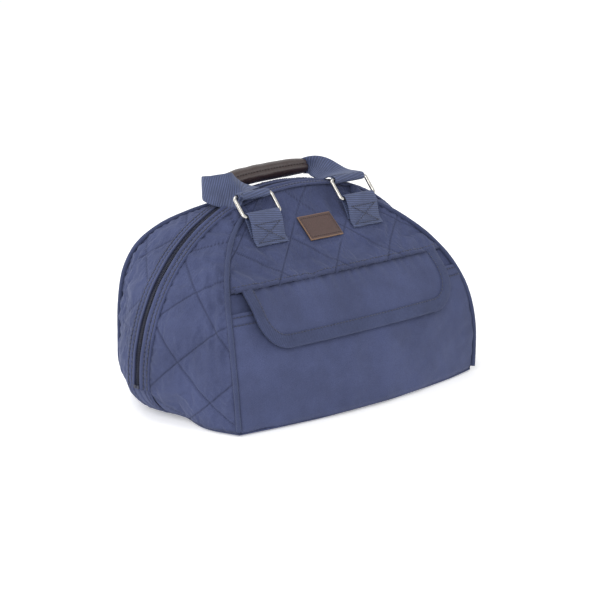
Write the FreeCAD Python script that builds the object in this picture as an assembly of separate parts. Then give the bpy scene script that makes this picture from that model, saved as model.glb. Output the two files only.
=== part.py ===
import FreeCAD, Part
import math
import os

# Soft dome-shaped carry bag. Millimetres. X right, -Y front, +Z up, origin on the floor under
# the zip. Every fabric panel is a thin closed solid that follows its own curved surface.

# Front panel: a D-shape that leans back, framed by the front piping.
FRONT_HALF_WIDTH = 155.0
FRONT_TOP = 191.35
FRONT_DEPTH = 102.4
RIDGE_DEPTH = 9.3
FRONT_BULGE = 18.0
SEAM_HEIGHT = 124.0
POCKET_HEIGHT = 105.0
# Back panel: nearly upright, rounding over at the top.
BACK_HALF_WIDTH = 145.0
BACK_TOP = 189.0
BACK_DEPTH = 74.0
BACK_BULGE = 6.0
# Zip: three tangent arcs in the plane y = 0.
ZIP_SIDE_CENTRE = (32.0, 37.0)
ZIP_SIDE_RADIUS = 153.0
ZIP_TOP_RADIUS = 276.6
ZIP_END_HEIGHT = 29.0
ZIP_JOIN_TILT = math.radians(15.0)
BAND_WIDTH = 15.0
BAND_THICKNESS = 1.8
TEETH_GAP = 0.6
# Base and lower edge.
BASE_ROUNDING = 38.0
REAR_ROUNDING = 40.0
REAR_CORNER_IN = 0.65
REAR_EDGE_IN = 0.48
FRONT_TURN = 4.0
REAR_TURN = 0.7
BASE_SIDE = 148.0
HINGE_Y = -122.0
HINGE_Z = 2.0
SPLIT_GAP = 0.6
SILL_FOOT = 2.1
# Fabric thicknesses.
QUILT = 3.0
PLAIN = 2.2
SHEET = 1.4
LINING = 0.8
WEBBING = 2.2
# Webbing and fittings.
WEBBING_WIDTH = 40.0
TAB_CENTRE = 62.8
RING_WIRE = 3.5
RING_INNER_HEIGHT = 18.0
RING_INNER_WIDTH = 42.4
RING_LEAN = math.radians(40.0)
LOOP_CLEARANCE = 0.35
FRONT_RING_BAR = (-34.5, 178.0)
BACK_RING_BAR = (66.5, 158.0)
BACK_RING_LEAN = math.radians(115.0)
TAB_FOOT_HEIGHT = 153.0
BACK_TAB_FOOT_HEIGHT = 130.0
PIPING_RADIUS = 2.4
PIPING_PROUD = 1.9
PIPING_STEPS = 22
# Flap over the pocket.
FLAP_HALF_WIDTH = 126.0
FLAP_LENGTH = 51.0
FLAP_CORNER = 30.0
FLAP_HINGE_Y = -79.5
BINDING_WIDTH = 11.0
# Front panel's lower edge, where its curved upper edge starts, and how far that edge rises.
FRONT_FOOT = 4.0
FRONT_CROWN_START = 178.0
CROWN = 11.5
# Zip slider: its place on the right arc, its size and the thickness of its plates.
SLIDER_ANGLE = math.radians(3.5)
SLIDER_LENGTH = 10.0
SLIDER_WIDTH = 8.6
PLATE = 1.1
# Label: its middle's place across the panel, its lower edge and its size.
LABEL_MIDDLE = 3.0
LABEL_FOOT = 148.0
LABEL_WIDTH = 42.0
LABEL_HEIGHT = 18.5
# Touch fastener pads.
PAD_HALF_WIDTH = 22.0
PAD_HEIGHT = 12.0
# Grips.
GRIP_RADIUS = 9.0

UP = FreeCAD.Vector(0, 0, 1)
ALONG_X = FreeCAD.Vector(1, 0, 0)


def vec(x, y, z):
    return FreeCAD.Vector(x, y, z)


def save(name, shape):
    """Write one named piece, after checking that it is a sound solid."""
    if not shape.isValid() or not shape.Solids:
        raise ValueError(f"{name} is not a sound solid")
    if any(solid.Volume <= 0 for solid in shape.Solids):
        raise ValueError(f"{name} is inside out")
    shape.exportStep(f"parts/{name}.step")


# ---- the bag's surfaces -------------------------------------------------------------------

def front_half_width(z):
    rise = max(0.0, 1.0 - (z / FRONT_TOP) ** 3.395)
    return FRONT_HALF_WIDTH * rise ** (1 / 1.841) + 0.091 * z * (1 - z / FRONT_TOP)


def front_depth(z):
    rise = max(0.0, 1.0 - (z / 192.4) ** 3.026)
    return RIDGE_DEPTH + (FRONT_DEPTH - RIDGE_DEPTH) * rise ** 1.42


def turned_in(z, radius):
    """How far an edge rounded to a radius has turned in under the bag at a height."""
    drop = radius - min(max(z, 0.0), radius)
    return radius - math.sqrt(radius ** 2 - drop ** 2)


def back_half_width(z):
    full = BACK_HALF_WIDTH * max(0.0, 1.0 - (z / BACK_TOP) ** 5.2) ** (1 / 2.25)
    return full - REAR_CORNER_IN * turned_in(z, REAR_ROUNDING)


def back_depth(z):
    rise = max(0.0, 1.0 - (z / BACK_TOP) ** 8.3)
    full = RIDGE_DEPTH + (BACK_DEPTH - RIDGE_DEPTH) * rise ** 1.346
    return full - REAR_EDGE_IN * turned_in(z, REAR_ROUNDING)


def front_point(x, z, bulge=FRONT_BULGE):
    """A point on the front panel, which bows forwards in the middle of its lower part."""
    across = min(1.0, abs(x) / max(front_half_width(z), 1.0))
    bow = bulge * (1 - across ** 2) * max(0.0, 1 - z / 190.0) ** 1.2
    return vec(x, -front_depth(z) - bow, z)


def back_point(x, z):
    across = min(1.0, abs(x) / max(back_half_width(z), 1.0))
    bow = BACK_BULGE * (1 - across ** 2) * max(0.0, 1 - z / BACK_TOP) ** 0.5
    return vec(x, back_depth(z) + bow, z)


def zip_half_width(z):
    """Half the zip's width at a height on its side arcs."""
    centre_x, centre_z = ZIP_SIDE_CENTRE
    return centre_x + math.sqrt(ZIP_SIDE_RADIUS ** 2 - (z - centre_z) ** 2)


def gusset_point(s, z_piping, z_zip, half_width, depth, front):
    """A point on a side gusset: s is 0 at the piping and 1 at the zip band."""
    z = z_piping + (z_zip - z_piping) * s
    outward = s + 0.25 * s * (1 - s)
    inner = half_width(z_piping)
    x = inner + (zip_half_width(z_zip) - inner) * outward
    x -= turned_in(z, BASE_ROUNDING) * math.sin(s * math.pi / 2) ** (FRONT_TURN if front else REAR_TURN)
    y = depth(z_piping) + (BAND_WIDTH - depth(z_piping)) * s
    return vec(-x, -y if front else y, z)


# ---- solids from surfaces -----------------------------------------------------------------

def normal_at(grid, i, j):
    rows, columns = len(grid), len(grid[0])
    along = grid[min(i + 1, rows - 1)][j] - grid[max(i - 1, 0)][j]
    across = grid[i][min(j + 1, columns - 1)] - grid[i][max(j - 1, 0)]
    normal = along.cross(across)
    return normal.normalize()


def shifted(grid, distance, centre):
    """The grid moved along its own normals, away from the centre when distance is positive."""
    middle, half = len(grid) // 2, len(grid[0]) // 2
    outwards = normal_at(grid, middle, half).dot(grid[middle][half] - centre)
    signed = distance if outwards > 0 else -distance
    return [
        [point + normal_at(grid, i, j) * signed for j, point in enumerate(row)]
        for i, row in enumerate(grid)
    ]


def sewn(faces):
    """One closed solid from faces that share their edges, turned the right way out."""
    shell = Part.makeShell(faces)
    shell.sewShape()
    solid = Part.Solid(shell)
    if solid.Volume < 0:
        solid.reverse()
    return solid


def smooth_surface(grid):
    surface = Part.BSplineSurface()
    surface.interpolate(grid)
    return surface


def panel(grid, thickness, lift=0.0, centre=None):
    """A sheet of fabric: its outer face is the grid, lifted off it by lift."""
    centre = centre or vec(0, 0, 70)
    outer = smooth_surface(shifted(grid, lift, centre))
    inner = smooth_surface(shifted(grid, lift - thickness, centre))
    u0, u1, v0, v1 = outer.bounds()
    sides = []
    for make in ("u", "v"):
        for value in ((u0, u1) if make == "u" else (v0, v1)):
            curves = [face.uIso(value) if make == "u" else face.vIso(value) for face in (outer, inner)]
            sides.append(Part.makeRuledSurface(curves[0].toShape(), curves[1].toShape()))
    return sewn([outer.toShape(), inner.toShape()] + sides)


def grid_of(point, rows, columns, across=(-1.0, 1.0)):
    """Points of a surface function point(u, v) with v from 0 to 1."""
    low, high = across
    return [
        [point(low + (high - low) * j / (columns - 1), i / (rows - 1)) for j in range(columns)]
        for i in range(rows)
    ]


def tube(path, radii, sides=12):
    """A smooth tube through the path's points, with flat ends."""
    rings = []
    for i, point in enumerate(path):
        ahead = path[min(i + 1, len(path) - 1)] - path[max(i - 1, 0)]
        ahead.normalize()
        side = ahead.cross(UP if abs(ahead.z) < 0.9 else ALONG_X)
        side.normalize()
        over = side.cross(ahead)
        turns = [2 * math.pi * k / sides for k in range(sides + 1)]
        rings.append([point + (side * math.cos(a) + over * math.sin(a)) * radii[i] for a in turns])
    surface = smooth_surface(rings)
    u0, u1, _, _ = surface.bounds()
    caps = [Part.Face(Part.Wire([surface.uIso(value).toShape()])) for value in (u0, u1)]
    return sewn([surface.toShape()] + caps)


def mirrored(shape):
    return shape.mirror(vec(0, 0, 0), ALONG_X)


def save_pair(name, shape):
    """A piece on the left and its mirror image on the right."""
    save(f"{name}_left", shape)
    save(f"{name}_right", mirrored(shape))


# ---- base ---------------------------------------------------------------------------------

def base_outline(margin):
    """The base's plan: four gentle arcs between its corners, drawn in by the margin."""
    front, back = -100.0 + margin, BACK_DEPTH - 18.0 - margin
    front_x, back_x, side = 150.0 - margin, 118.0 - margin, BASE_SIDE - margin
    corners = [vec(-front_x, front, 0), vec(front_x, front, 0), vec(back_x, back, 0), vec(-back_x, back, 0)]
    middles = [vec(0, front - 16, 0), vec(side, -8, 0), vec(0, back + 5, 0), vec(-side, -8, 0)]
    arcs = [
        Part.Arc(corners[k], middles[k], corners[(k + 1) % 4]).toShape()
        for k in range(4)
    ]
    return Part.Face(Part.Wire(arcs))


def base_sheet(margin, bottom, thickness):
    sheet = base_outline(margin).extrude(UP * thickness)
    sheet.translate(UP * bottom)
    return sheet


def make_base():
    save("base_panel", base_sheet(0.0, 0.0, 2.0))
    save("base_board", base_sheet(9.0, 2.0, 3.0))
    save("base_lining", base_sheet(8.0, 5.0, LINING))


# ---- front half ---------------------------------------------------------------------------

def front_grid(low, high, crown, bulge, rows, columns=13, width=1.0):
    """The front surface between two heights; crown lifts the middle of the upper edge."""
    def point(u, v):
        side = low + (high - low) * v
        x = u * (front_half_width(side) - 1.5) * width
        z = side + crown * v * v * (1 - u * u)
        return front_point(x, z, bulge)
    return grid_of(point, rows, columns)


def make_front_panels():
    upper = front_grid(SEAM_HEIGHT + 0.6, FRONT_CROWN_START, CROWN, FRONT_BULGE, 9)
    save("front_upper_panel", panel(upper, QUILT))
    lower = front_grid(FRONT_FOOT, SEAM_HEIGHT - 2.5, 0.0, 9.0, 9)
    save("front_lower_panel", panel(lower, PLAIN, lift=-0.6))
    lining = front_grid(FRONT_FOOT + 4, FRONT_CROWN_START - 3, CROWN, 8.0, 13, width=0.97)
    save("front_lining", panel(lining, LINING, lift=-QUILT - 1.6))
    pocket = front_grid(FRONT_FOOT, POCKET_HEIGHT, 0.0, FRONT_BULGE + 1.0, 9, width=0.995)
    save("pocket_panel", panel(pocket, SHEET, lift=SHEET + 0.3))


def split_height(s):
    """Height of the fold line on the gusset, from the front corner up to the zip's end."""
    y = FRONT_DEPTH + (BAND_WIDTH - FRONT_DEPTH) * s
    reach = (y - BAND_WIDTH) / (-HINGE_Y - BAND_WIDTH)
    return HINGE_Z + (ZIP_END_HEIGHT - HINGE_Z) * (1 - reach)


def make_front_gusset():
    def point(u, v):
        low = split_height(u) + SPLIT_GAP
        z_piping = low + (FRONT_CROWN_START - 6 - low) * v
        z_zip = low + (180.5 - low) * v
        return gusset_point(u, z_piping, z_zip, front_half_width, front_depth, True)
    gusset = grid_of(point, 11, 7, across=(0.03, 0.97))
    save_pair("front_gusset", panel(gusset, QUILT, lift=-0.3))

    def sill_point(u, v):
        z = SILL_FOOT + (split_height(u) - SPLIT_GAP - SILL_FOOT) * v
        return gusset_point(u, z, z, front_half_width, front_depth, True)
    sill = grid_of(sill_point, 5, 7, across=(0.12, 0.98))
    save_pair("front_sill", panel(sill, PLAIN, lift=-0.3, centre=vec(0, -40, 60)))


def make_zip_ends():
    """The plain patch of gusset below each end of the zip, sewn to the back half and the base."""
    def point(u, v):
        z = 0.6 + (ZIP_END_HEIGHT - 1.2) * v
        return vec(-zip_half_width(z) + turned_in(z, BASE_ROUNDING), u * (BAND_WIDTH - 0.8), z)
    save_pair("zip_end_patch", panel(grid_of(point, 7, 4), PLAIN, lift=0.4))


def even_points(points, count):
    """Points evenly spaced along a smooth curve through the given ones."""
    curve = Part.BSplineCurve()
    curve.interpolate(points)
    return curve.discretize(Number=count)


def piping_path(half_width, depth, low, high, sign):
    """The seam line from the floor up one side, just outside the fabric."""
    path = []
    for k in range(PIPING_STEPS):
        z = low + (high - low) * math.sin(k / (PIPING_STEPS - 1) * math.pi / 2)
        path.append(vec(-half_width(z) - PIPING_PROUD, sign * (depth(z) + PIPING_PROUD), z))
    return even_points(path, PIPING_STEPS)


def make_piping():
    radii = [PIPING_RADIUS] * PIPING_STEPS
    front = piping_path(front_half_width, front_depth, 5.0, 176.0, -1)
    save_pair("front_piping", tube(front, radii))
    back = piping_path(back_half_width, back_depth, 3.0, 177.0, 1)
    save_pair("back_piping", tube(back, radii))


# ---- back half ----------------------------------------------------------------------------

def back_grid(low, high, crown, rows, width=1.0):
    def point(u, v):
        rise = math.sin(v * math.pi / 2)
        side = low + (high - low) * rise
        x = u * (back_half_width(side) - 1.5) * width
        z = side + crown * rise ** 8 * (1 - u * u)
        return back_point(x, z)
    return grid_of(point, rows, 13)


def make_back():
    save("back_panel", panel(back_grid(3.0, 181.0, 7.0, 15), QUILT))
    save("back_lining", panel(back_grid(8.0, 177.0, 7.0, 15, 0.97), LINING, lift=-QUILT - 0.8))

    def point(u, v):
        rise = math.sin(v * math.pi / 2)
        z_piping = 0.6 + (178.0 - 0.6) * rise
        z_zip = 0.6 + (180.5 - 0.6) * rise
        return gusset_point(u, z_piping, z_zip, back_half_width, back_depth, False)
    save_pair("back_gusset", panel(grid_of(point, 15, 7, across=(0.03, 0.97)), QUILT, lift=-0.3))


# ---- zip ----------------------------------------------------------------------------------

def zip_side_angles():
    low = math.asin((ZIP_END_HEIGHT - ZIP_SIDE_CENTRE[1]) / ZIP_SIDE_RADIUS)
    return low, math.pi / 2 - ZIP_JOIN_TILT


def zip_edge(offset):
    """The zip's three tangent arcs, moved out by the offset, from right end to left end."""
    centre_x, centre_z = ZIP_SIDE_CENTRE
    low, high = zip_side_angles()
    top_z = centre_z - (ZIP_TOP_RADIUS - ZIP_SIDE_RADIUS) * math.cos(ZIP_JOIN_TILT)

    def on_side(angle, sign):
        radius = ZIP_SIDE_RADIUS + offset
        return vec(sign * (centre_x + radius * math.cos(angle)), 0, centre_z + radius * math.sin(angle))
    middle = (low + high) / 2
    top = vec(0, 0, top_z + ZIP_TOP_RADIUS + offset)
    return [
        Part.Arc(on_side(low, 1), on_side(middle, 1), on_side(high, 1)).toShape(),
        Part.Arc(on_side(high, 1), top, on_side(high, -1)).toShape(),
        Part.Arc(on_side(high, -1), on_side(middle, -1), on_side(low, -1)).toShape(),
    ]


def zip_strip(inner, outer, start, width):
    """A strip that follows the zip: inner and outer are offsets, start and width are along Y."""
    inside, outside = zip_edge(inner), zip_edge(outer)
    ends = [
        Part.makeLine(inside[-1].Vertexes[-1].Point, outside[-1].Vertexes[-1].Point),
        Part.makeLine(outside[0].Vertexes[0].Point, inside[0].Vertexes[0].Point),
    ]
    wire = Part.Wire(Part.__sortEdges__(inside + outside + ends))
    strip = Part.Face(wire).extrude(vec(0, width, 0))
    strip.translate(vec(0, start, 0))
    return strip


def make_zip():
    band = zip_strip(0.0, BAND_THICKNESS, 0.0, BAND_WIDTH - 3.9)
    tape = zip_strip(-0.8, 0.0, 0.0, BAND_WIDTH - 1.8)
    teeth = zip_strip(0.0, 2.0, 0.0, 2.9)
    starts = {
        "front": (-BAND_WIDTH, -BAND_WIDTH + 1.0, -TEETH_GAP - 2.9),
        "back": (3.9, 0.8, TEETH_GAP),
    }
    for half, (band_y, tape_y, teeth_y) in starts.items():
        for name, strip, y in (("band", band, band_y), ("tape", tape, tape_y), ("teeth", teeth, teeth_y)):
            placed = strip.copy()
            placed.translate(vec(0, y, 0))
            save(f"{half}_zip_{name}", placed)


def on_right_arc(angle, offset, y=0.0):
    centre_x, centre_z = ZIP_SIDE_CENTRE
    radius = ZIP_SIDE_RADIUS + offset
    return vec(centre_x + radius * math.cos(angle), y, centre_z + radius * math.sin(angle))


def slider_block(offset, thickness, length, width):
    """A block on the slider's place on the zip; offset is how far its foot stands out."""
    block = Part.makeBox(thickness, width, length, vec(offset, -width / 2, -length / 2))
    block.rotate(vec(0, 0, 0), vec(0, 1, 0), -math.degrees(SLIDER_ANGLE))
    block.translate(on_right_arc(SLIDER_ANGLE, 0.0))
    return block


def make_slider():
    clear = 0.35
    outer = slider_block(2.0 + clear, PLATE, SLIDER_LENGTH, SLIDER_WIDTH)
    inner = slider_block(-0.8 - clear - PLATE, PLATE, SLIDER_LENGTH, SLIDER_WIDTH)
    neck_foot = -0.8 - clear - PLATE
    neck = slider_block(neck_foot, 2.8 + 2 * clear + 2 * PLATE, 3.0, 0.7)
    bail = slider_block(2.0 + clear + PLATE, 3.2, 6.0, 2.0)
    hole = Part.makeCylinder(1.1, 4.0, on_right_arc(SLIDER_ANGLE, 5.2, -2.0), vec(0, 1, 0))
    save("zip_slider", outer.fuse([inner, neck, bail]).cut(hole).removeSplitter())
    pin = Part.makeCylinder(0.8, 5.6, on_right_arc(SLIDER_ANGLE, 5.2, -2.8), vec(0, 1, 0))
    foot = on_right_arc(SLIDER_ANGLE, 5.2)
    sides = [
        Part.makeBox(1.6, 1.5, 8.0, foot + vec(-0.8, y, -7.2))
        for y in (-2.8, 1.3)
    ]
    leaf = Part.makeBox(1.6, 9.0, 26.0, foot + vec(-0.8, -4.5, -32.0))
    rounding = [edge for edge in leaf.Edges if abs(edge.tangentAt(edge.FirstParameter).x) > 0.9]
    leaf = leaf.makeFillet(2.5, rounding)
    save("zip_pull", leaf.fuse(sides + [pin]).removeSplitter())


def make_zip_stops():
    for half, start in (("front", -TEETH_GAP - 3.0), ("back", TEETH_GAP)):
        stops = []
        for sign in (1, -1):
            stop = Part.makeBox(1.5, 3.0, 3.0, vec(2.1, start, 0.2))
            stop.translate(vec(zip_half_width(ZIP_END_HEIGHT), 0, ZIP_END_HEIGHT))
            stops.append(stop if sign > 0 else mirrored(stop))
        save(f"{half}_zip_stops", Part.makeCompound(stops))


# ---- tabs, rings and handles --------------------------------------------------------------

def bar_loop(centre_y, centre_z):
    """Webbing turned round a ring's bar, as a short tube."""
    bore = RING_WIRE / 2 + LOOP_CLEARANCE
    start = vec(-WEBBING_WIDTH / 2, centre_y, centre_z)
    wall = Part.makeCylinder(bore + 1.5, WEBBING_WIDTH, start, ALONG_X)
    hole = Part.makeCylinder(bore, WEBBING_WIDTH, start, ALONG_X)
    return wall, hole


def tab(foot, bar, thickness=2.8):
    """A webbing tab from its foot on the panel up to the loop round a ring's bar."""
    wall, hole = bar_loop(*bar)
    foot, head = vec(0, *foot), vec(0, *bar)
    along = head - foot
    across = along.cross(ALONG_X).normalize() * (thickness / 2)
    corners = [foot + across, head + across, head - across, foot - across]
    slab = Part.Face(Part.makePolygon(corners + corners[:1])).extrude(ALONG_X * WEBBING_WIDTH)
    slab.translate(vec(-WEBBING_WIDTH / 2, 0, 0))
    return slab.fuse(wall).cut(hole).removeSplitter()


def ring(bar, lean):
    """A rectangular wire ring with its lower bar at bar, leaning by an angle from upright."""
    wire = RING_WIRE / 2
    half = RING_INNER_WIDTH / 2 + wire
    height = RING_INNER_HEIGHT + RING_WIRE
    corner = 3.2
    pieces = []
    for z in (0.0, height):
        pieces.append(Part.makeCylinder(wire, 2 * (half - corner), vec(-half + corner, 0, z), ALONG_X))
    for x in (-half, half):
        pieces.append(Part.makeCylinder(wire, height - 2 * corner, vec(x, 0, corner), UP))
    turns = {(1, 1): 0, (-1, 1): 90, (-1, -1): 180, (1, -1): 270}
    for (sx, sz), turn in turns.items():
        bend = Part.makeTorus(corner, wire, vec(0, 0, 0), UP, -180, 180, 90)
        bend.rotate(vec(0, 0, 0), UP, turn)
        bend.rotate(vec(0, 0, 0), ALONG_X, 90)
        centre_z = height - corner if sz > 0 else corner
        bend.translate(vec(sx * (half - corner), 0, centre_z))
        pieces.append(bend)
    whole = pieces[0].fuse(pieces[1:]).removeSplitter()
    whole.rotate(vec(0, 0, 0), ALONG_X, -math.degrees(lean))
    whole.translate(vec(0, *bar))
    return whole


def ring_top(bar, lean):
    height = RING_INNER_HEIGHT + RING_WIRE
    return bar[0] + height * math.sin(lean), bar[1] + height * math.cos(lean)


def at_tab(shape, sign):
    placed = shape.copy()
    placed.translate(vec(sign * TAB_CENTRE, 0, 0))
    return placed


def make_tabs_and_rings():
    surface = front_point(TAB_CENTRE, TAB_FOOT_HEIGHT)
    front_tab = tab((surface.y - 2.2, TAB_FOOT_HEIGHT), FRONT_RING_BAR)
    surface = back_point(TAB_CENTRE, BACK_TAB_FOOT_HEIGHT)
    back_tab = tab((surface.y + 2.6, BACK_TAB_FOOT_HEIGHT), BACK_RING_BAR)
    front_ring = ring(FRONT_RING_BAR, RING_LEAN)
    back_ring = ring(BACK_RING_BAR, BACK_RING_LEAN)
    for side, sign in (("left", -1), ("right", 1)):
        save(f"front_tab_{side}", at_tab(front_tab, sign))
        save(f"back_tab_{side}", at_tab(back_tab, sign))
        save(f"front_ring_{side}", at_tab(front_ring, sign))
        save(f"back_ring_{side}", at_tab(back_ring, sign))


def strap(stations, thickness=WEBBING):
    """A strip of webbing. Each station is its middle, its width direction and its width."""
    middles = [vec(*middle) for middle, _, _ in stations]
    last = len(stations) - 1
    sections = []
    for k, (_, way, width) in enumerate(stations):
        along = middles[min(k + 1, last)] - middles[max(k - 1, 0)]
        side = vec(*way).normalize() * (width / 2)
        face = along.cross(side).normalize() * (thickness / 2)
        corners = [side + face, side - face, -side - face, -side + face]
        corners = [middles[k] + corner for corner in corners]
        sections.append(Part.makePolygon(corners + corners[:1]))
    return Part.makeLoft(sections, True, True)


def handle_loop(top, side):
    wall, hole = bar_loop(*top)
    return at_tab(wall.cut(hole), side)


def make_front_handle():
    """The handle has flopped back over the top of the bag, its straps bent and twisted."""
    top_y, top_z = ring_top(FRONT_RING_BAR, RING_LEAN)
    left = [
        ((-63.8, top_y + 4.0, top_z + 2.4), (1, 0, 0), 39),
        ((-68, -12, 197.0), (0.98, -0.10, 0.14), 38),
        ((-76, -7, 197.0), (0.85, -0.30, 0.45), 35),
        ((-86, 0, 198.5), (0.45, -0.25, 0.86), 30),
        ((-92, 5, 199.2), (0.10, -0.10, 0.99), 26),
        ((-94.5, 12, 200.0), (0, 0, 1), 22),
        ((-89, 17.5, 200.5), (0, 0, 1), 20),
        ((-79, 18, 201.0), (0, 0, 1), 17),
        ((-68, 16, 201.0), (0, 0, 1), 14),
    ]
    right = [
        ((63.8, top_y + 4.0, top_z + 2.4), (1, 0, 0), 39),
        ((63.5, -8, 197.4), (0.99, 0, 0.04), 36),
        ((60, 2, 199.0), (0.94, 0, 0.30), 30),
        ((55, 12, 202.2), (0.74, 0, 0.67), 23),
        ((52, 21, 203.0), (0.25, 0, 0.97), 16),
        ((49, 28, 201.3), (0, 0, 1), 15),
    ]
    for side, sign, stations in (("left", -1, left), ("right", 1, right)):
        save(f"front_strap_{side}", strap(stations))
        save(f"front_strap_loop_{side}", handle_loop((top_y, top_z), sign))
    path = [
        vec(-67, 15.5, 201),
        vec(-40, 20, 202.4),
        vec(-8, 24, 202.6),
        vec(24, 26.5, 202.4),
        vec(50, 28, 201.5),
    ]
    save("front_grip", tube(path, [GRIP_RADIUS * 0.8] + [GRIP_RADIUS] * 3 + [GRIP_RADIUS * 0.8]))


def make_back_handle():
    """The back handle hangs down the back panel."""
    top_y, top_z = ring_top(BACK_RING_BAR, BACK_RING_LEAN)
    left = [
        ((-TAB_CENTRE, top_y + 2.5, top_z - 3.5), (1, 0, 0), WEBBING_WIDTH - 1),
        ((-TAB_CENTRE + 1, top_y + 5, top_z - 22), (1, 0, 0.05), 38),
        ((-TAB_CENTRE + 3, top_y + 6.5, top_z - 38), (0.97, 0, 0.22), 32),
        ((-TAB_CENTRE + 7, top_y + 7.5, top_z - 51), (0.85, 0, 0.5), 22),
        ((-TAB_CENTRE + 12, top_y + 8, top_z - 60), (0.7, 0, 0.7), 15),
    ]
    right = [((-x, y, z), (dx, dy, -dz), width) for (x, y, z), (dx, dy, dz), width in left]
    for side, sign, stations in (("left", -1, left), ("right", 1, right)):
        save(f"back_strap_{side}", strap(stations))
        save(f"back_strap_loop_{side}", handle_loop((top_y, top_z), sign))
    reach = top_y + 7.5
    drop = top_z - 62
    path = [vec(x, reach + 1.5, drop - 9 * (1 - (x / 52) ** 2)) for x in (-52, -30, 0, 30, 52)]
    save("back_grip", tube(path, [GRIP_RADIUS * 0.8] + [GRIP_RADIUS] * 3 + [GRIP_RADIUS * 0.8]))


# ---- flap and label -----------------------------------------------------------------------

def flap_point(x, down):
    """The flap's inner face, which hangs straight from its seam and takes up the panel's bow."""
    z = SEAM_HEIGHT - 1.0 - down
    ease = min(1.0, down / FLAP_LENGTH) ** 0.7
    middle = front_point(0, z).y
    here = front_point(x, z).y
    clear = 3.4 + 1.0 * ease
    straight = min(middle - clear, FLAP_HINGE_Y) if down < 6 else middle - clear
    return vec(x, straight + (here - middle) * ease * 0.8, z)


def flap_grid():
    """Rows run down the flap, which narrows round its two lower corners."""
    def half_width(down):
        past = max(0.0, down - (FLAP_LENGTH - FLAP_CORNER)) / FLAP_CORNER
        corner = FLAP_CORNER * (1 - math.sqrt(max(0.0, 1 - (past * 0.985) ** 2)))
        return FLAP_HALF_WIDTH - corner
    def point(u, v):
        down = math.sin(v * math.pi / 2) * FLAP_LENGTH
        return flap_point(u * half_width(down), down)
    return grid_of(point, 11, 15)


def flap_rim(offset):
    """Places along the flap's free edge, an offset in from it: (x, down) pairs."""
    side = FLAP_LENGTH - FLAP_CORNER
    run = FLAP_HALF_WIDTH - FLAP_CORNER
    left = [(-FLAP_HALF_WIDTH + offset, side * k / 2) for k in range(2)]
    for k in range(6):
        turn = math.pi / 2 * k / 5
        reach = FLAP_CORNER - offset
        left.append((-run - reach * math.cos(turn), side + reach * math.sin(turn)))
    bottom = [(-run + 2 * run * k / 20, FLAP_LENGTH - offset) for k in range(1, 20)]
    return left + bottom + [(-x, down) for x, down in reversed(left)]


def make_flap():
    save("flap_panel", panel(flap_grid(), SHEET, lift=SHEET))
    rows = [
        [flap_point(x, down) for x, down in flap_rim(offset)]
        for offset in (0.4, 4.0, 7.5, BINDING_WIDTH)
    ]
    save("flap_binding", panel(rows, 0.7, lift=SHEET + 0.75))
    def pad(u, v):
        return flap_point(u * PAD_HALF_WIDTH, 30.0 + PAD_HEIGHT * v)
    save("flap_fastener", panel(grid_of(pad, 4, 5), 0.5, lift=-0.05))


def make_label():
    def point(u, v):
        return front_point(LABEL_MIDDLE + u * LABEL_WIDTH / 2, LABEL_FOOT + LABEL_HEIGHT * v)
    save("label_patch", panel(grid_of(point, 4, 5), 1.4, lift=1.8))


def make_fasteners():
    """The loop half of the flap's touch fastener, on the pocket."""
    def pocket_pad(u, v):
        return front_point(u * PAD_HALF_WIDTH, 82.0 + PAD_HEIGHT * v, FRONT_BULGE + 1.0)
    save("pocket_fastener", panel(grid_of(pocket_pad, 4, 5), 0.5, lift=2.25))


os.makedirs("parts", exist_ok=True)
make_base()
make_front_panels()
make_front_gusset()
make_zip_ends()
make_piping()
make_back()
make_zip()
make_slider()
make_zip_stops()
make_tabs_and_rings()
make_front_handle()
make_back_handle()
make_flap()
make_label()
make_fasteners()
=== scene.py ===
import math

import bpy
import numpy as np
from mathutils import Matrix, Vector


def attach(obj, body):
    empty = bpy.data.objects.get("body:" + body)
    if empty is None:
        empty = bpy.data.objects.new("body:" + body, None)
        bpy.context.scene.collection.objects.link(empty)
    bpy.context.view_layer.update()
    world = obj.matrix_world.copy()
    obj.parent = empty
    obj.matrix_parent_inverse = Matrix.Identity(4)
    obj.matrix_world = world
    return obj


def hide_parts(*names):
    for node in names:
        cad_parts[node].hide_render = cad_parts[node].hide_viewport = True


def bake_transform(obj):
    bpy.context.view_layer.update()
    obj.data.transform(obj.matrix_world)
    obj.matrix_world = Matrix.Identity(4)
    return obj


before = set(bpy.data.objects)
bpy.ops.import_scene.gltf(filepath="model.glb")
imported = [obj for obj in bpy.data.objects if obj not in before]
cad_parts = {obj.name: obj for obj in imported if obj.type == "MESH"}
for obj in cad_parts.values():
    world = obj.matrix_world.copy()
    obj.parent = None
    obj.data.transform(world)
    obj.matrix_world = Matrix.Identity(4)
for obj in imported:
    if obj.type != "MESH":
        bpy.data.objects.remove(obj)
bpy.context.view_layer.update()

bl_info = {
    "name": "Quilted Dome Bag",
    "version": (1, 0, 0),
    "blender": (4, 5, 0),
    "location": "View3D > Sidebar > Bag",
    "description": "Builds the cloth, webbing, zip and leather of a quilted dome-shaped carry bag",
    "category": "Object",
}

MM = 0.001
FRONT, BACK = -1.0, 1.0

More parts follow.
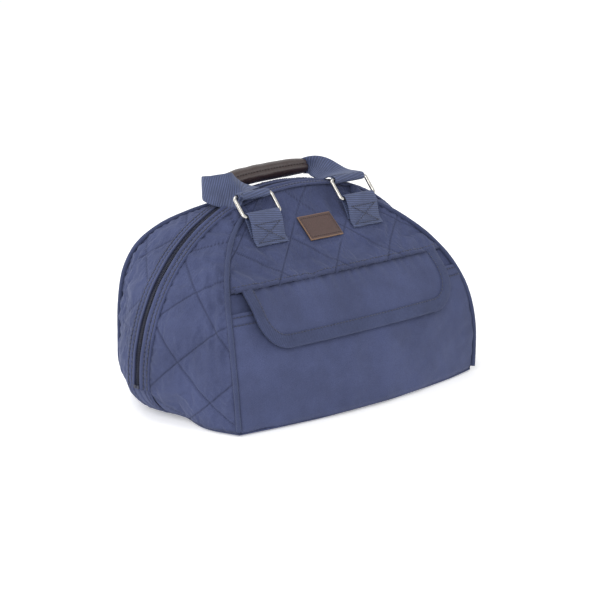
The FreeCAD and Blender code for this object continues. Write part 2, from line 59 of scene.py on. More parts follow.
# Driving sizes in millimetres. X is right, -Y the pocket side, Z up.
FRONT_HALF_WIDTH, FRONT_TOP, FRONT_DEPTH, FRONT_BULGE = 155.0, 191.35, 102.4, 18.0
BACK_HALF_WIDTH, BACK_TOP, BACK_DEPTH, BACK_BULGE = 145.0, 189.0, 74.0, 6.0
RIDGE_DEPTH = 9.3
SEAM_HEIGHT, POCKET_HEIGHT = 124.0, 105.0
LOWER_EDGE, FRONT_CROWN_START, BACK_CROWN_START, CROWN = 1.8, 178.0, 181.0, 11.5
ZIP_SIDE_X, ZIP_SIDE_Z, ZIP_SIDE_RADIUS, ZIP_TOP_RADIUS = 32.0, 37.0, 153.0, 276.6
ZIP_END_HEIGHT, ZIP_CROWN, ZIP_JOIN_TILT = 29.0, 184.6, math.radians(15.0)
BAND_WIDTH = 15.0
RIDGE_REACH, RIDGE_EDGE = 71.5, 14.6
ZIP_STITCH_ROWS = (13.0, 8.2)
BASE_ROUNDING = 38.0
REAR_ROUNDING, REAR_CORNER_IN, REAR_EDGE_IN = 40.0, 0.65, 0.48
WEBBING_WIDTH, TAB_CENTRE = 40.0, 62.8
RING_HEIGHT = 21.5
FRONT_BAR, FRONT_LEAN = (-34.5, 178.0), math.radians(40.0)
BACK_BAR, BACK_LEAN = (66.5, 158.0), math.radians(115.0)
FLAP_HALF_WIDTH, FLAP_LENGTH, FLAP_CORNER = 126.0, 51.0, 30.0
BINDING_WIDTH = 11.0
QUILT_SPACING, GUSSET_QUILT_SPACING = 50.0, 47.0
LABEL_MIDDLE, LABEL_FOOT, LABEL_HALF_WIDTH, LABEL_HEIGHT = 3.0, 148.0, 21.0, 18.5
TAB_FOOT, BACK_TAB_FOOT = 152.2, 129.5


# ---- sizes and colours that a user may change ----------------------------------------------

def linear(code):
    """An sRGB hex colour as linear red, green and blue."""
    values = [int(code[i:i + 2], 16) / 255 for i in (1, 3, 5)]
    return [v / 12.92 if v <= 0.04045 else ((v + 0.055) / 1.055) ** 2.4 for v in values]


def colour_property(name, description, code):
    return bpy.props.FloatVectorProperty(
        name=name, description=description, subtype="COLOR", size=3, min=0, max=1, default=linear(code))


def length_property(name, description, default):
    return bpy.props.FloatProperty(name=name, description=description, unit="LENGTH", default=default)


# Real twill lines are about half a millimetre apart, too fine to show, so they are drawn coarser.
class BagSizes(bpy.types.PropertyGroup):
    quilt_puff: length_property("Quilt puff", "How far the padding stands up between the lines", 0.0026)
    stitch_pitch: length_property("Stitch pitch", "Length of one topstitch and its gap", 0.0040)
    rib_pitch: length_property("Webbing rib", "Distance between the ribs of the webbing", 0.0021)
    twill_pitch: length_property("Twill line", "Distance between the twill's diagonal lines", 0.0011)
    grip_radius: length_property("Grip radius", "Half the thickness of the leather grips", 0.0088)
    piping_radius: length_property("Piping radius", "Half the thickness of the piping", 0.0023)


class BagColours(bpy.types.PropertyGroup):
    cloth: colour_property("Cloth", "Navy twill of the panels", "#3e4565")
    webbing: colour_property("Webbing", "Navy of the straps and tabs", "#444e70")
    thread: colour_property("Thread", "Topstitching thread", "#1f243c")
    piping: colour_property("Piping", "Piping and binding cloth", "#383f5c")
    leather: colour_property("Leather", "Dark brown grips", "#3a2725")
    patch: colour_property("Patch", "Brown label leather", "#57413d")
    patch_edge: colour_property("Patch edge", "Raw cut edge of the label", "#7c6250")
    metal: colour_property("Metal", "Plated rings and slider", "#d9d6cf")
    zip: colour_property("Zip", "Coil teeth and tape", "#24283c")
    lining: colour_property("Lining", "Inside of the bag", "#2b3048")


# ---- materials ----------------------------------------------------------------------------

def node(tree, kind, settings=None, links=None):
    """Adds one node, sets its fields or sockets and links its inputs."""
    made = tree.nodes.new(kind)
    for key, value in (settings or {}).items():
        if isinstance(key, str) and hasattr(made, key):
            setattr(made, key, value)
        else:
            made.inputs[key].default_value = value
    for key, source in (links or {}).items():
        tree.links.new(source, made.inputs[key])
    return made


def new_material(name, **values):
    """A material with one Principled shader, whose constant sockets are set here."""
    material = bpy.data.materials.new(name)
    material.use_nodes = True
    tree = material.node_tree
    tree.nodes.clear()
    shader = node(tree, "ShaderNodeBsdfPrincipled",
                  {key.replace("_", " ").title().replace("Ior", "IOR"): v for key, v in values.items()})
    node(tree, "ShaderNodeOutputMaterial", {}, {0: shader.outputs[0]})
    return material, tree, shader


def shade(colour, times):
    return [min(1.0, c * times) for c in colour] + [1]


def cloth_material(name, colour, pitch, angle=math.radians(52), depth=0.00022, crease_and_painted_shade=True):
    """Woven polyester twill. Fine diagonal ribs and mixed yarns give a dull heathered surface with
    a faint sheen, and painted shade darkens the sewn creases and seams."""
    material, tree, shader = new_material(
        name, roughness=0.84, specular_ior_level=0.28, sheen_weight=0.16, sheen_roughness=0.45,
        sheen_tint=(0.55, 0.62, 0.85, 1))
    uv = node(tree, "ShaderNodeUVMap").outputs[0]
    place = node(tree, "ShaderNodeTexCoord").outputs["Object"]
    turned = node(tree, "ShaderNodeMapping", {"Rotation": (0, 0, angle)}, {0: uv}).outputs[0]
    ribs = node(tree, "ShaderNodeTexWave", {
        "wave_type": "BANDS", "bands_direction": "X", "Scale": 0.314 / pitch, "Distortion": 0.8,
        "Detail": 1.0, "Detail Scale": 2.0}, {0: turned}).outputs["Fac"]
    yarn = node(tree, "ShaderNodeTexNoise", {"Scale": 1 / 0.0010, "Detail": 2.0, "Roughness": 0.7},
                {0: place}).outputs["Fac"]
    worn = node(tree, "ShaderNodeTexNoise", {"Scale": 1 / 0.045, "Detail": 4.0, "Roughness": 0.6},
                {0: place}).outputs["Fac"]
    share = node(tree, "ShaderNodeMath", {"operation": "MULTIPLY", 1: 0.75}, {0: yarn}).outputs[0]
    mixed = node(tree, "ShaderNodeMath", {"operation": "MULTIPLY_ADD", 1: 0.30},
                 {0: ribs, 2: share}).outputs[0]
    base = node(tree, "ShaderNodeMix", {
        "data_type": "RGBA", 6: shade(colour, 0.56), 7: shade(colour, 1.50)}, {0: mixed}).outputs[2]
    fade = node(tree, "ShaderNodeMapRange", {1: 0.35, 2: 0.65, 3: 0.86, 4: 1.12}, {0: worn}).outputs[0]
    base = node(tree, "ShaderNodeVectorMath", {"operation": "SCALE"}, {0: base, "Scale": fade}).outputs[0]
    # Painted shade: the mesh attribute from the pieces darkens the cloth along sewn creases and seams, down
    # to 0.3 of its colour.
    if crease_and_painted_shade:
        line = node(tree, "ShaderNodeAttribute", {"attribute_name": "crease_and_painted_shade"}).outputs["Fac"]
        keep = node(tree, "ShaderNodeMapRange", {1: 0.0, 2: 1.0, 3: 1.0, 4: 0.30}, {0: line}).outputs[0]
        base = node(tree, "ShaderNodeVectorMath", {"operation": "SCALE"},
                    {0: base, "Scale": keep}).outputs[0]
    tree.links.new(base, shader.inputs["Base Color"])
    weave = node(tree, "ShaderNodeBump", {"Distance": depth, "Strength": 0.55}, {"Height": ribs}).outputs[0]
    fuzz = node(tree, "ShaderNodeBump", {"Distance": depth, "Strength": 0.35},
                {"Height": yarn, "Normal": weave}).outputs[0]
    crumple = node(tree, "ShaderNodeTexNoise", {"Scale": 1 / 0.012, "Detail": 3.0},
                   {0: place}).outputs["Fac"]
    relief = node(tree, "ShaderNodeBump", {"Distance": 0.0016, "Strength": 0.22},
                  {"Height": crumple, "Normal": fuzz}).outputs[0]
    tree.links.new(relief, shader.inputs["Normal"])
    return material


def webbing_material(name, colour, rib):
    """Woven polyester webbing. Tight ribs across the strap catch the light over dark valleys."""
    material, tree, shader = new_material(
        name, roughness=0.62, sheen_weight=0.18, sheen_tint=(0.6, 0.68, 0.9, 1))
    uv = node(tree, "ShaderNodeUVMap").outputs[0]
    place = node(tree, "ShaderNodeTexCoord").outputs["Object"]
    across = node(tree, "ShaderNodeMapping", {"Rotation": (0, 0, math.radians(8))}, {0: uv}).outputs[0]
    ribs = node(tree, "ShaderNodeTexWave", {
        "wave_type": "BANDS", "bands_direction": "Y", "Scale": 0.314 / rib, "Distortion": 0.9,
        "Detail": 2.0, "Detail Scale": 1.5}, {0: across}).outputs["Fac"]
    yarn = node(tree, "ShaderNodeTexWave", {
        "wave_type": "BANDS", "bands_direction": "X", "Scale": 0.314 / 0.0012, "Distortion": 1.0},
        {0: across}).outputs["Fac"]
    cloudy = node(tree, "ShaderNodeTexNoise", {"Scale": 1 / 0.010, "Detail": 4.0},
                  {0: place}).outputs["Fac"]
    mix = node(tree, "ShaderNodeMath", {"operation": "MULTIPLY"}, {0: ribs, 1: cloudy}).outputs[0]
    spread = node(tree, "ShaderNodeMapRange", {1: 0.1, 2: 0.6}, {0: mix}).outputs[0]
    base = node(tree, "ShaderNodeMix", {
        "data_type": "RGBA", 6: shade(colour, 0.66), 7: shade(colour, 1.28)}, {0: spread}).outputs[2]
    tree.links.new(base, shader.inputs["Base Color"])
    fine = node(tree, "ShaderNodeBump", {"Distance": 0.00012, "Strength": 0.35},
                {"Height": yarn}).outputs[0]
    relief = node(tree, "ShaderNodeBump", {"Distance": 0.0004, "Strength": 0.8},
                  {"Height": ribs, "Normal": fine}).outputs[0]
    tree.links.new(relief, shader.inputs["Normal"])
    return material


def leather_material(name, colour, roughness, grain=0.0013, coat=0.25):
    """Finished cowhide. A fine pebbled grain with darker pores under a waxed, uneven gloss."""
    material, tree, shader = new_material(name, coat_weight=coat, coat_roughness=0.30)
    place = node(tree, "ShaderNodeTexCoord").outputs["Object"]
    cells = node(tree, "ShaderNodeTexVoronoi", {"feature": "DISTANCE_TO_EDGE", "Scale": 1 / grain},
                 {0: place}).outputs["Distance"]
    soft = node(tree, "ShaderNodeTexNoise", {"Scale": 1 / 0.02, "Detail": 5.0, "Roughness": 0.65},
                {0: place}).outputs["Fac"]
    pores = node(tree, "ShaderNodeMapRange", {1: 0.0, 2: 0.35}, {0: cells}).outputs[0]
    uneven = node(tree, "ShaderNodeMath", {"operation": "MULTIPLY"}, {0: pores, 1: soft}).outputs[0]
    spread = node(tree, "ShaderNodeMapRange", {1: 0.15, 2: 0.75}, {0: uneven}).outputs[0]
    base = node(tree, "ShaderNodeMix", {
        "data_type": "RGBA", 6: shade(colour, 0.70), 7: shade(colour, 1.35)}, {0: spread}).outputs[2]
    tree.links.new(base, shader.inputs["Base Color"])
    gloss = node(tree, "ShaderNodeMapRange", {1: 0.3, 2: 0.7, 3: roughness - 0.07, 4: roughness + 0.12},
                 {0: soft}).outputs[0]
    tree.links.new(gloss, shader.inputs["Roughness"])
    pebbles = node(tree, "ShaderNodeBump", {"Distance": 0.00015, "Strength": 0.45},
                   {"Height": pores}).outputs[0]
    folds = node(tree, "ShaderNodeTexNoise", {"Scale": 1 / 0.006, "Detail": 3.0}, {0: place}).outputs["Fac"]
    relief = node(tree, "ShaderNodeBump", {"Distance": 0.0006, "Strength": 0.25},
                  {"Height": folds, "Normal": pebbles}).outputs[0]
    tree.links.new(relief, shader.inputs["Normal"])
    return material


def plated_material(name, colour, roughness=0.24):
    """Nickel-plated steel. Bright and even, with polishing haze and small handling scratches."""
    material, tree, shader = new_material(name, metallic=1.0)
    place = node(tree, "ShaderNodeTexCoord").outputs["Object"]
    haze = node(tree, "ShaderNodeTexNoise", {"Scale": 1 / 0.004, "Detail": 5.0}, {0: place}).outputs["Fac"]
    base = node(tree, "ShaderNodeMix", {
        "data_type": "RGBA", 6: shade(colour, 0.86), 7: shade(colour, 1.06)}, {0: haze}).outputs[2]
    tree.links.new(base, shader.inputs["Base Color"])
    gloss = node(tree, "ShaderNodeMapRange", {1: 0.3, 2: 0.7, 3: roughness - 0.08, 4: roughness + 0.12},
                 {0: haze}).outputs[0]
    tree.links.new(gloss, shader.inputs["Roughness"])
    stretched = node(tree, "ShaderNodeMapping", {"Scale": (1, 1, 0.08)}, {0: place}).outputs[0]
    scratch = node(tree, "ShaderNodeTexNoise", {"Scale": 1 / 0.0006, "Detail": 2.0},
                   {0: stretched}).outputs["Fac"]
    relief = node(tree, "ShaderNodeBump", {"Distance": 0.00005, "Strength": 0.2},
                  {"Height": scratch}).outputs[0]
    tree.links.new(relief, shader.inputs["Normal"])
    return material


def spun_material(name, colour, roughness, speck=0.0008, sheen=0.0):
    """Spun or moulded synthetic, such as thread, coil, board or pile, with a fine speckle."""
    material, tree, shader = new_material(name, roughness=roughness, sheen_weight=sheen)
    place = node(tree, "ShaderNodeTexCoord").outputs["Object"]
    grain = node(tree, "ShaderNodeTexNoise", {"Scale": 1 / speck, "Detail": 3.0}, {0: place}).outputs["Fac"]
    base = node(tree, "ShaderNodeMix", {"data_type": "RGBA", 6: shade(colour, 0.75), 7: shade(colour, 1.3)},
                {0: grain}).outputs[2]
    tree.links.new(base, shader.inputs["Base Color"])
    relief = node(tree, "ShaderNodeBump", {"Distance": 0.0002, "Strength": 0.3},
                  {"Height": grain}).outputs[0]
    tree.links.new(relief, shader.inputs["Normal"])
    return material


MATERIALS = {}


def make_materials(context):
    sizes, colours = context.scene.bag_sizes, context.scene.bag_colours
    twill = sizes.twill_pitch
    MATERIALS.update({
        "quilted_twill": cloth_material("navy_quilted_twill", colours.cloth, twill),
        "plain_twill": cloth_material("navy_plain_twill", colours.cloth, twill),
        "lining_cloth": cloth_material(
            "dark_woven_lining", colours.lining, twill, depth=0.0001, crease_and_painted_shade=False),
        "binding_tape": cloth_material("navy_woven_tape", colours.piping, twill * 1.3, math.radians(-40)),
        "piping_cloth": cloth_material("navy_piping_cloth", colours.piping, twill, crease_and_painted_shade=False),
        "webbing": webbing_material("navy_ribbed_webbing", colours.webbing, sizes.rib_pitch),
        "brown_leather": leather_material("dark_waxed_cowhide", colours.leather, 0.34),
        "patch_leather": leather_material("brown_label_leather", colours.patch, 0.52, 0.0010, 0.05),
        "patch_edge": spun_material("tan_cut_leather_edge", colours.patch_edge, 0.8),
        "ring_metal": plated_material("bright_nickel_plate", colours.metal),
        "zip_metal": plated_material("satin_nickel_slider", colours.metal, 0.34),
        "zip_coil": spun_material("dark_nylon_coil", colours.zip, 0.38),
        "thread": spun_material("navy_polyester_thread", colours.thread, 0.6, 0.0005, 0.2),
        "leather_thread": spun_material("brown_waxed_thread", shade(colours.leather, 0.55)[:3], 0.5),
        "stiffener_board": spun_material("grey_pressed_board", linear("#3a3b40"), 0.7),
        "touch_fastener": spun_material("navy_looped_pile", colours.zip, 0.95, 0.0006, 0.4),
    })


# ---- surfaces of the bag, in millimetres ---------------------------------------------------

def powered(base, exponent):
    return np.maximum(0.0, base) ** exponent


def front_half_width(z):
    """Half the front panel's width at a height: a squarish arch with a slight flare."""
    rise = powered(1 - (np.maximum(z, 0) / FRONT_TOP) ** 3.395, 1 / 1.841)
    return FRONT_HALF_WIDTH * rise + 0.091 * z * (1 - z / FRONT_TOP)


def front_depth(z):
    """How far the front panel's side edges stand forward of the zip at a height."""
    rise = powered(1 - (np.maximum(z, 0) / 192.4) ** 3.026, 1.42)
    return RIDGE_DEPTH + (FRONT_DEPTH - RIDGE_DEPTH) * rise


def turned_in(z, radius):
    """How far an edge rounded to a radius has turned in under the bag at a height."""
    drop = radius - np.clip(z, 0.0, radius)
    return radius - np.sqrt(radius ** 2 - drop ** 2)


def back_half_width(z):
    """Half the back panel's width at a height, drawn in at its rounded lower corners."""
    full = BACK_HALF_WIDTH * powered(1 - (np.maximum(z, 0) / BACK_TOP) ** 5.2, 1 / 2.25)
    return full - REAR_CORNER_IN * turned_in(z, REAR_ROUNDING)


def back_depth(z):
    """How far the back panel stands behind the zip at a height."""
    rise = powered(1 - (np.maximum(z, 0) / BACK_TOP) ** 8.3, 1.346)
    return RIDGE_DEPTH + (BACK_DEPTH - RIDGE_DEPTH) * rise - REAR_EDGE_IN * turned_in(z, REAR_ROUNDING)


def front_surface(x, z, bulge=FRONT_BULGE):
    across = np.minimum(1.0, np.abs(x) / np.maximum(front_half_width(z), 1.0))
    bow = bulge * (1 - across ** 2) * powered(1 - z / 190.0, 1.2)
    return np.stack([x, -front_depth(z) - bow, z], -1)


def back_surface(x, z):
    across = np.minimum(1.0, np.abs(x) / np.maximum(back_half_width(z), 1.0))
    bow = BACK_BULGE * (1 - across ** 2) * powered(1 - z / BACK_TOP, 0.5)
    return np.stack([x, back_depth(z) + bow, z], -1)


def zip_half_width(z):
    return ZIP_SIDE_X + np.sqrt(np.maximum(0.0, ZIP_SIDE_RADIUS ** 2 - (z - ZIP_SIDE_Z) ** 2))


def zip_path(step):
    """Points, outward normals and tangents along the zip from its left end to its right end."""
    low = math.asin((ZIP_END_HEIGHT - ZIP_SIDE_Z) / ZIP_SIDE_RADIUS)
    high = math.pi / 2 - ZIP_JOIN_TILT
    top_z = ZIP_SIDE_Z - (ZIP_TOP_RADIUS - ZIP_SIDE_RADIUS) * math.cos(ZIP_JOIN_TILT)
    side_length = (high - low) * ZIP_SIDE_RADIUS
    top_length = 2 * ZIP_JOIN_TILT * ZIP_TOP_RADIUS
    total = 2 * side_length + top_length
    reach = np.linspace(0, total, int(round(total / step)) + 1)
    points, normals = [], []
    for s in reach:
        if s < side_length or s > total - side_length:
            left = s < side_length
            angle = low + (s if left else total - s) / ZIP_SIDE_RADIUS
            sign = -1 if left else 1
            normal = np.array([sign * math.cos(angle), 0, math.sin(angle)])
            centre = np.array([sign * ZIP_SIDE_X, 0, ZIP_SIDE_Z])
            points.append(centre + normal * ZIP_SIDE_RADIUS)
        else:
            angle = (s - side_length) / ZIP_TOP_RADIUS - ZIP_JOIN_TILT
            normal = np.array([math.sin(angle), 0, math.cos(angle)])
            points.append(np.array([0, 0, top_z]) + normal * ZIP_TOP_RADIUS)
        normals.append(normal)
    points, normals = np.array(points), np.array(normals)
    tangents = np.gradient(points, axis=0)
    tangents /= np.linalg.norm(tangents, axis=1)[:, None]
    return points, normals, tangents, reach


# ---- mesh helpers -------------------------------------------------------------------------

def unit(vectors):
    return vectors / np.maximum(np.linalg.norm(vectors, axis=-1, keepdims=True), 1e-9)


def surface_normals(points, inside=(0, 0, 70)):
    """Unit normals of a grid of points, facing away from the middle of the bag."""
    normals = unit(np.cross(np.gradient(points, axis=1), np.gradient(points, axis=0)))
    outward = ((points - np.array(inside)) * normals).sum(-1).mean()
    return normals if outward > 0 else -normals


def smooth_step(values, low, high):
    t = np.clip((values - low) / (high - low), 0, 1)
    return t * t * (3 - 2 * t)


def distance_to_lines(values, spacing, start):
    return np.abs((values - start + spacing / 2) % spacing - spacing / 2)


def quilting(a, b, starts, spacing=QUILT_SPACING):
    """Puff from 0 to 1 and crease from 0 to 1 for square quilting set on its corner; the crease sinks the
    groove and sets its painted shade.
    """
    first = distance_to_lines((a + b) / math.sqrt(2), spacing, starts[0])
    second = distance_to_lines((a - b) / math.sqrt(2), spacing, starts[1])
    puff = 1.0
    crease_and_painted_shade = 0.0
    for gap in (first, second):
        puff = puff * np.sin(np.minimum(gap / (spacing / 2), 1) * math.pi / 2) ** 0.55
        crease_and_painted_shade = np.maximum(crease_and_painted_shade, np.exp(-(gap / 0.55) ** 2))
    return puff, crease_and_painted_shade


def ripples(a, b, seed, size, count=9):
    """Gentle uneven waves between about -1 and 1, the same on every run."""
    random = np.random.default_rng(seed)
    total = np.zeros(np.broadcast(a, b).shape)
    for _ in range(count):
        angle, phase = random.uniform(0, math.pi), random.uniform(0, 2 * math.pi)
        wave = size * random.uniform(0.7, 1.6)
        total += np.sin((a * math.cos(angle) + b * math.sin(angle)) * 2 * math.pi / wave + phase)
    return total / math.sqrt(count * 2)


def arc_coordinates(points, axis):
    steps = np.linalg.norm(np.diff(points, axis=axis), axis=-1)
    zero = np.zeros_like(np.take(steps, [0], axis=axis))
    return np.concatenate([zero, np.cumsum(steps, axis=axis)], axis=axis)


def mesh_piece(name, vertices, faces, uvs=None, crease_and_painted_shade=None):
    """A mesh object from points in millimetres; uvs are one per vertex, in metres."""
    mesh = bpy.data.meshes.new(name)
    mesh.from_pydata((np.asarray(vertices) * MM).tolist(), [], [list(f) for f in faces])
    mesh.update()
    if uvs is not None:
        layer = mesh.uv_layers.new(name="UVMap")
        loops = np.zeros(len(mesh.loops), np.int32)
        mesh.loops.foreach_get("vertex_index", loops)
        layer.data.foreach_set("uv", np.asarray(uvs, np.float32)[loops].ravel())
    # This float attribute carries painted shade along creases, seams and stitch rows, read by the cloth
    # material.
    if crease_and_painted_shade is not None:
        attribute = mesh.attributes.new("crease_and_painted_shade", "FLOAT", "POINT")
        attribute.data.foreach_set("value", np.asarray(crease_and_painted_shade, np.float32).ravel())
    mesh.shade_smooth()
    piece = bpy.data.objects.new(name, mesh)
    bpy.context.scene.collection.objects.link(piece)
    return piece


def grid_faces(rows, columns, closed=False):
    index = np.arange(rows * columns).reshape(rows, columns)
    if closed:
        index = np.concatenate([index, index[:, :1]], axis=1)
    return np.stack([index[:-1, :-1], index[:-1, 1:], index[1:, 1:], index[1:, :-1]], -1).reshape(-1, 4)


def faces_outwards(points, faces, outward):
    """The faces, turned over if they look the wrong way."""
    corners = points.reshape(-1, 3)[faces[:, :3]]
    normals = np.cross(corners[:, 1] - corners[:, 0], corners[:, 2] - corners[:, 0])
    wanted = outward.reshape(-1, 3)[faces[:, 0]]
    return faces if (normals * wanted).sum() > 0 else faces[:, ::-1]


def sheet_piece(name, points, thickness, crease_and_painted_shade=None, uvs=None, normals=None):
    """A cloth sheet of a real thickness whose outer face is the grid of points."""
    rows, columns = points.shape[:2]
    normals = surface_normals(points) if normals is None else normals
    inner = points - normals * thickness
    faces = faces_outwards(points, grid_faces(rows, columns), normals)
    flat = rows * columns
    index = np.arange(flat).reshape(rows, columns)
    rim = np.concatenate([index[0, :-1], index[:-1, -1], index[-1, :0:-1], index[:0:-1, 0]])
    following = np.roll(rim, -1)
    sides = np.stack([rim, following, following + flat, rim + flat], -1)
    middle = points.reshape(-1, 3).mean(0)
    vertices = np.concatenate([points.reshape(-1, 3), inner.reshape(-1, 3)])
    side_normal = np.cross(vertices[sides[:, 1]] - vertices[sides[:, 0]],
                           vertices[sides[:, 3]] - vertices[sides[:, 0]])
    if (side_normal * (vertices[sides[:, 0]] - middle)).sum() < 0:
        sides = sides[:, ::-1]
    everything = np.concatenate([faces, faces[:, ::-1] + flat, sides])
    if uvs is None:
        a, b = arc_coordinates(points, 1) * MM, arc_coordinates(points, 0) * MM
        uvs = np.stack([a, b], -1)
    uvs = np.concatenate([uvs.reshape(-1, 2)] * 2)
    crease_and_painted_shade = np.zeros(flat) if crease_and_painted_shade is None else crease_and_painted_shade.ravel()
    return mesh_piece(name, vertices, everything, uvs, np.concatenate([crease_and_painted_shade, crease_and_painted_shade * 0]))


def tube_piece(name, rings, uvs=None):
    """A closed tube from rings of points, with its two ends closed over."""
    rows, columns = rings.shape[:2]
    faces = grid_faces(rows, columns, closed=True)
    centres = rings.mean(1, keepdims=True)
    faces = faces_outwards(rings, faces, rings - centres)
    ends = [[rows * columns, k, (k + 1) % columns] for k in range(columns)]
    tail = (rows - 1) * columns
    ends += [[rows * columns + 1, tail + (k + 1) % columns, tail + k] for k in range(columns)]
    turned = (faces[0] != grid_faces(rows, columns, closed=True)[0]).any()
    if turned:
        ends = [face[::-1] for face in ends]
    vertices = np.concatenate([rings.reshape(-1, 3), centres[0], centres[-1]])
    along = arc_coordinates(rings, 0).mean(1, keepdims=True) * MM
    around = arc_coordinates(rings, 1).mean(0, keepdims=True) * MM
    if uvs is None:
        uvs = np.stack(np.broadcast_arrays(around, along), -1).reshape(-1, 2)
    else:
        uvs = uvs.reshape(-1, 2)
    uvs = np.concatenate([uvs, uvs[:1], uvs[-1:]])
    faces = [list(face) for face in faces] + ends
    return mesh_piece(name, vertices, faces, uvs)


def swept(path, sides, overs, section):
    """Rings made by placing a flat section (side, over) at each point of a path."""
    section = np.asarray(section)
    if section.ndim == 2:
        section = np.broadcast_to(section, (len(path),) + section.shape)
    return path[:, None] + sides[:, None] * section[..., :1] + overs[:, None] * section[..., 1:]


def finish_piece(piece, body, slot, material=None, replaces=()):
    piece.data.materials.clear()
    piece.data.materials.append(MATERIALS[material or slot])
    if body:
        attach(piece, body)
    if replaces:
        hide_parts(*replaces)
    return piece


def resampled(values, count, axis=0):
    """Values on a smooth curve through the given ones, at even steps."""
    values = np.moveaxis(np.asarray(values, float), axis, 0)
    at = np.linspace(0, len(values) - 1, count)
    k = np.minimum(at.astype(int), len(values) - 2)
    t = (at - k).reshape((-1,) + (1,) * (values.ndim - 1))
    ends = np.concatenate([2 * values[:1] - values[1:2], values, 2 * values[-1:] - values[-2:-1]])
    before, here, after, last = ends[k], ends[k + 1], ends[k + 2], ends[k + 3]
    curve = 2 * here + (after - before) * t + (2 * before - 5 * here + 4 * after - last) * t ** 2
    curve = curve + (3 * here - before - 3 * after + last) * t ** 3
    return np.moveaxis(curve / 2, 0, axis)


def bead(length, width, height, segments=6, rings=5):
    """One small rounded bar: its points in millimetres and its faces."""
    bpy.ops.object.select_all(action="DESELECT")
    bpy.ops.mesh.primitive_uv_sphere_add(segments=segments, ring_count=rings, radius=0.5)
    bpy.ops.object.mode_set(mode="EDIT")
    bpy.ops.transform.resize(value=(width, height, length))
    bpy.ops.object.mode_set(mode="OBJECT")
    made = bpy.context.object
    points = np.array([vertex.co[:] for vertex in made.data.vertices])
    faces = [list(face.vertices) for face in made.data.polygons]
    bpy.data.objects.remove(made)
    blunt = np.abs(points[:, 2]) < length * 0.45
    points[blunt, 2] *= 1.15
    return points, faces


def copied_along(name, shape, middles, alongs, sides, overs):
    """Copies of one small shape in a single mesh, each turned to its own place on a line."""
    points, faces = shape
    placed = (middles[:, None] + points[None, :, 2:] * alongs[:, None]
              + points[None, :, :1] * sides[:, None] + points[None, :, 1:2] * overs[:, None])
    count = len(points)
    everything = [[corner + count * k for corner in face] for k in range(len(middles)) for face in faces]
    return mesh_piece(name, placed.reshape(-1, 3), everything)


def stitches(name, places, normals, body, slot, pitch=4.0, material="thread", lift=0.15, width=0.9):
    """A row of raised topstitches along a line, sunk half into the cloth."""
    steps = arc_coordinates(places[None], 1)[0]
    count = max(2, int(round(steps[-1] / pitch)))
    at = (np.arange(count) + 0.5) * steps[-1] / count
    tangents = unit(np.gradient(places, axis=0))
    middles, overs, alongs = (
        np.stack([np.interp(at, steps, row[:, k]) for k in range(3)], -1)
        for row in (places, unit(normals), tangents))
    alongs = unit(alongs)
    sides = unit(np.cross(overs, alongs))
    overs = unit(np.cross(alongs, sides))
    shape = bead(steps[-1] / count * 0.74, width, width * 0.7)
    piece = copied_along(name, shape, middles + overs * lift, alongs, sides, overs)
    return finish_piece(piece, body, slot, material)


def inflated(points, held, pressure, slack, cap=5.0, frames=20):
    """Blows a grid of cloth out between its sewn lines, and returns how each point moved."""
    rows, columns = points.shape[:2]
    outward = surface_normals(points)
    faces = faces_outwards(points, grid_faces(rows, columns), outward)
    scratch = mesh_piece("loose_cloth", points.reshape(-1, 3), faces)
    group = scratch.vertex_groups.new(name="sewn")
    for index, weight in enumerate(held.ravel()):
        if weight > 0.02:
            group.add([index], float(weight), "REPLACE")
    cloth = scratch.modifiers.new("Cloth", "CLOTH")
    settings = cloth.settings
    settings.quality = 6
    settings.mass = 0.25
    settings.tension_stiffness = 15
    settings.compression_stiffness = 12
    settings.shear_stiffness = 8
    settings.bending_stiffness = 0.35
    settings.use_pressure = True
    settings.uniform_pressure_force = pressure
    settings.vertex_group_mass = "sewn"
    settings.shrink_min = slack
    settings.effector_weights.gravity = 0
    cloth.collision_settings.use_collision = False
    cloth.point_cache.frame_start = 1
    cloth.point_cache.frame_end = frames
    scene = bpy.context.scene
    for frame_number in range(1, frames + 1):
        scene.frame_set(frame_number)
    shaped = scratch.evaluated_get(bpy.context.evaluated_depsgraph_get())
    places = np.zeros(rows * columns * 3)
    shaped.data.vertices.foreach_get("co", places)
    bpy.data.objects.remove(scratch)
    scene.frame_set(1)
    moved = places.reshape(rows, columns, 3) / MM - points
    length = np.linalg.norm(moved, axis=-1, keepdims=True)
    return moved * np.minimum(1.0, cap / np.maximum(length, 1e-6))


def mirrored(points):
    flipped = points.copy()
    flipped[..., 0] *= -1
    return flipped


# ---- pieces -------------------------------------------------------------------------------

def grid(rows, columns, low=-1.0):
    """u across the columns, up to 1, and v up the rows."""
    return np.meshgrid(np.linspace(low, 1.0, columns), np.linspace(0, 1, rows))


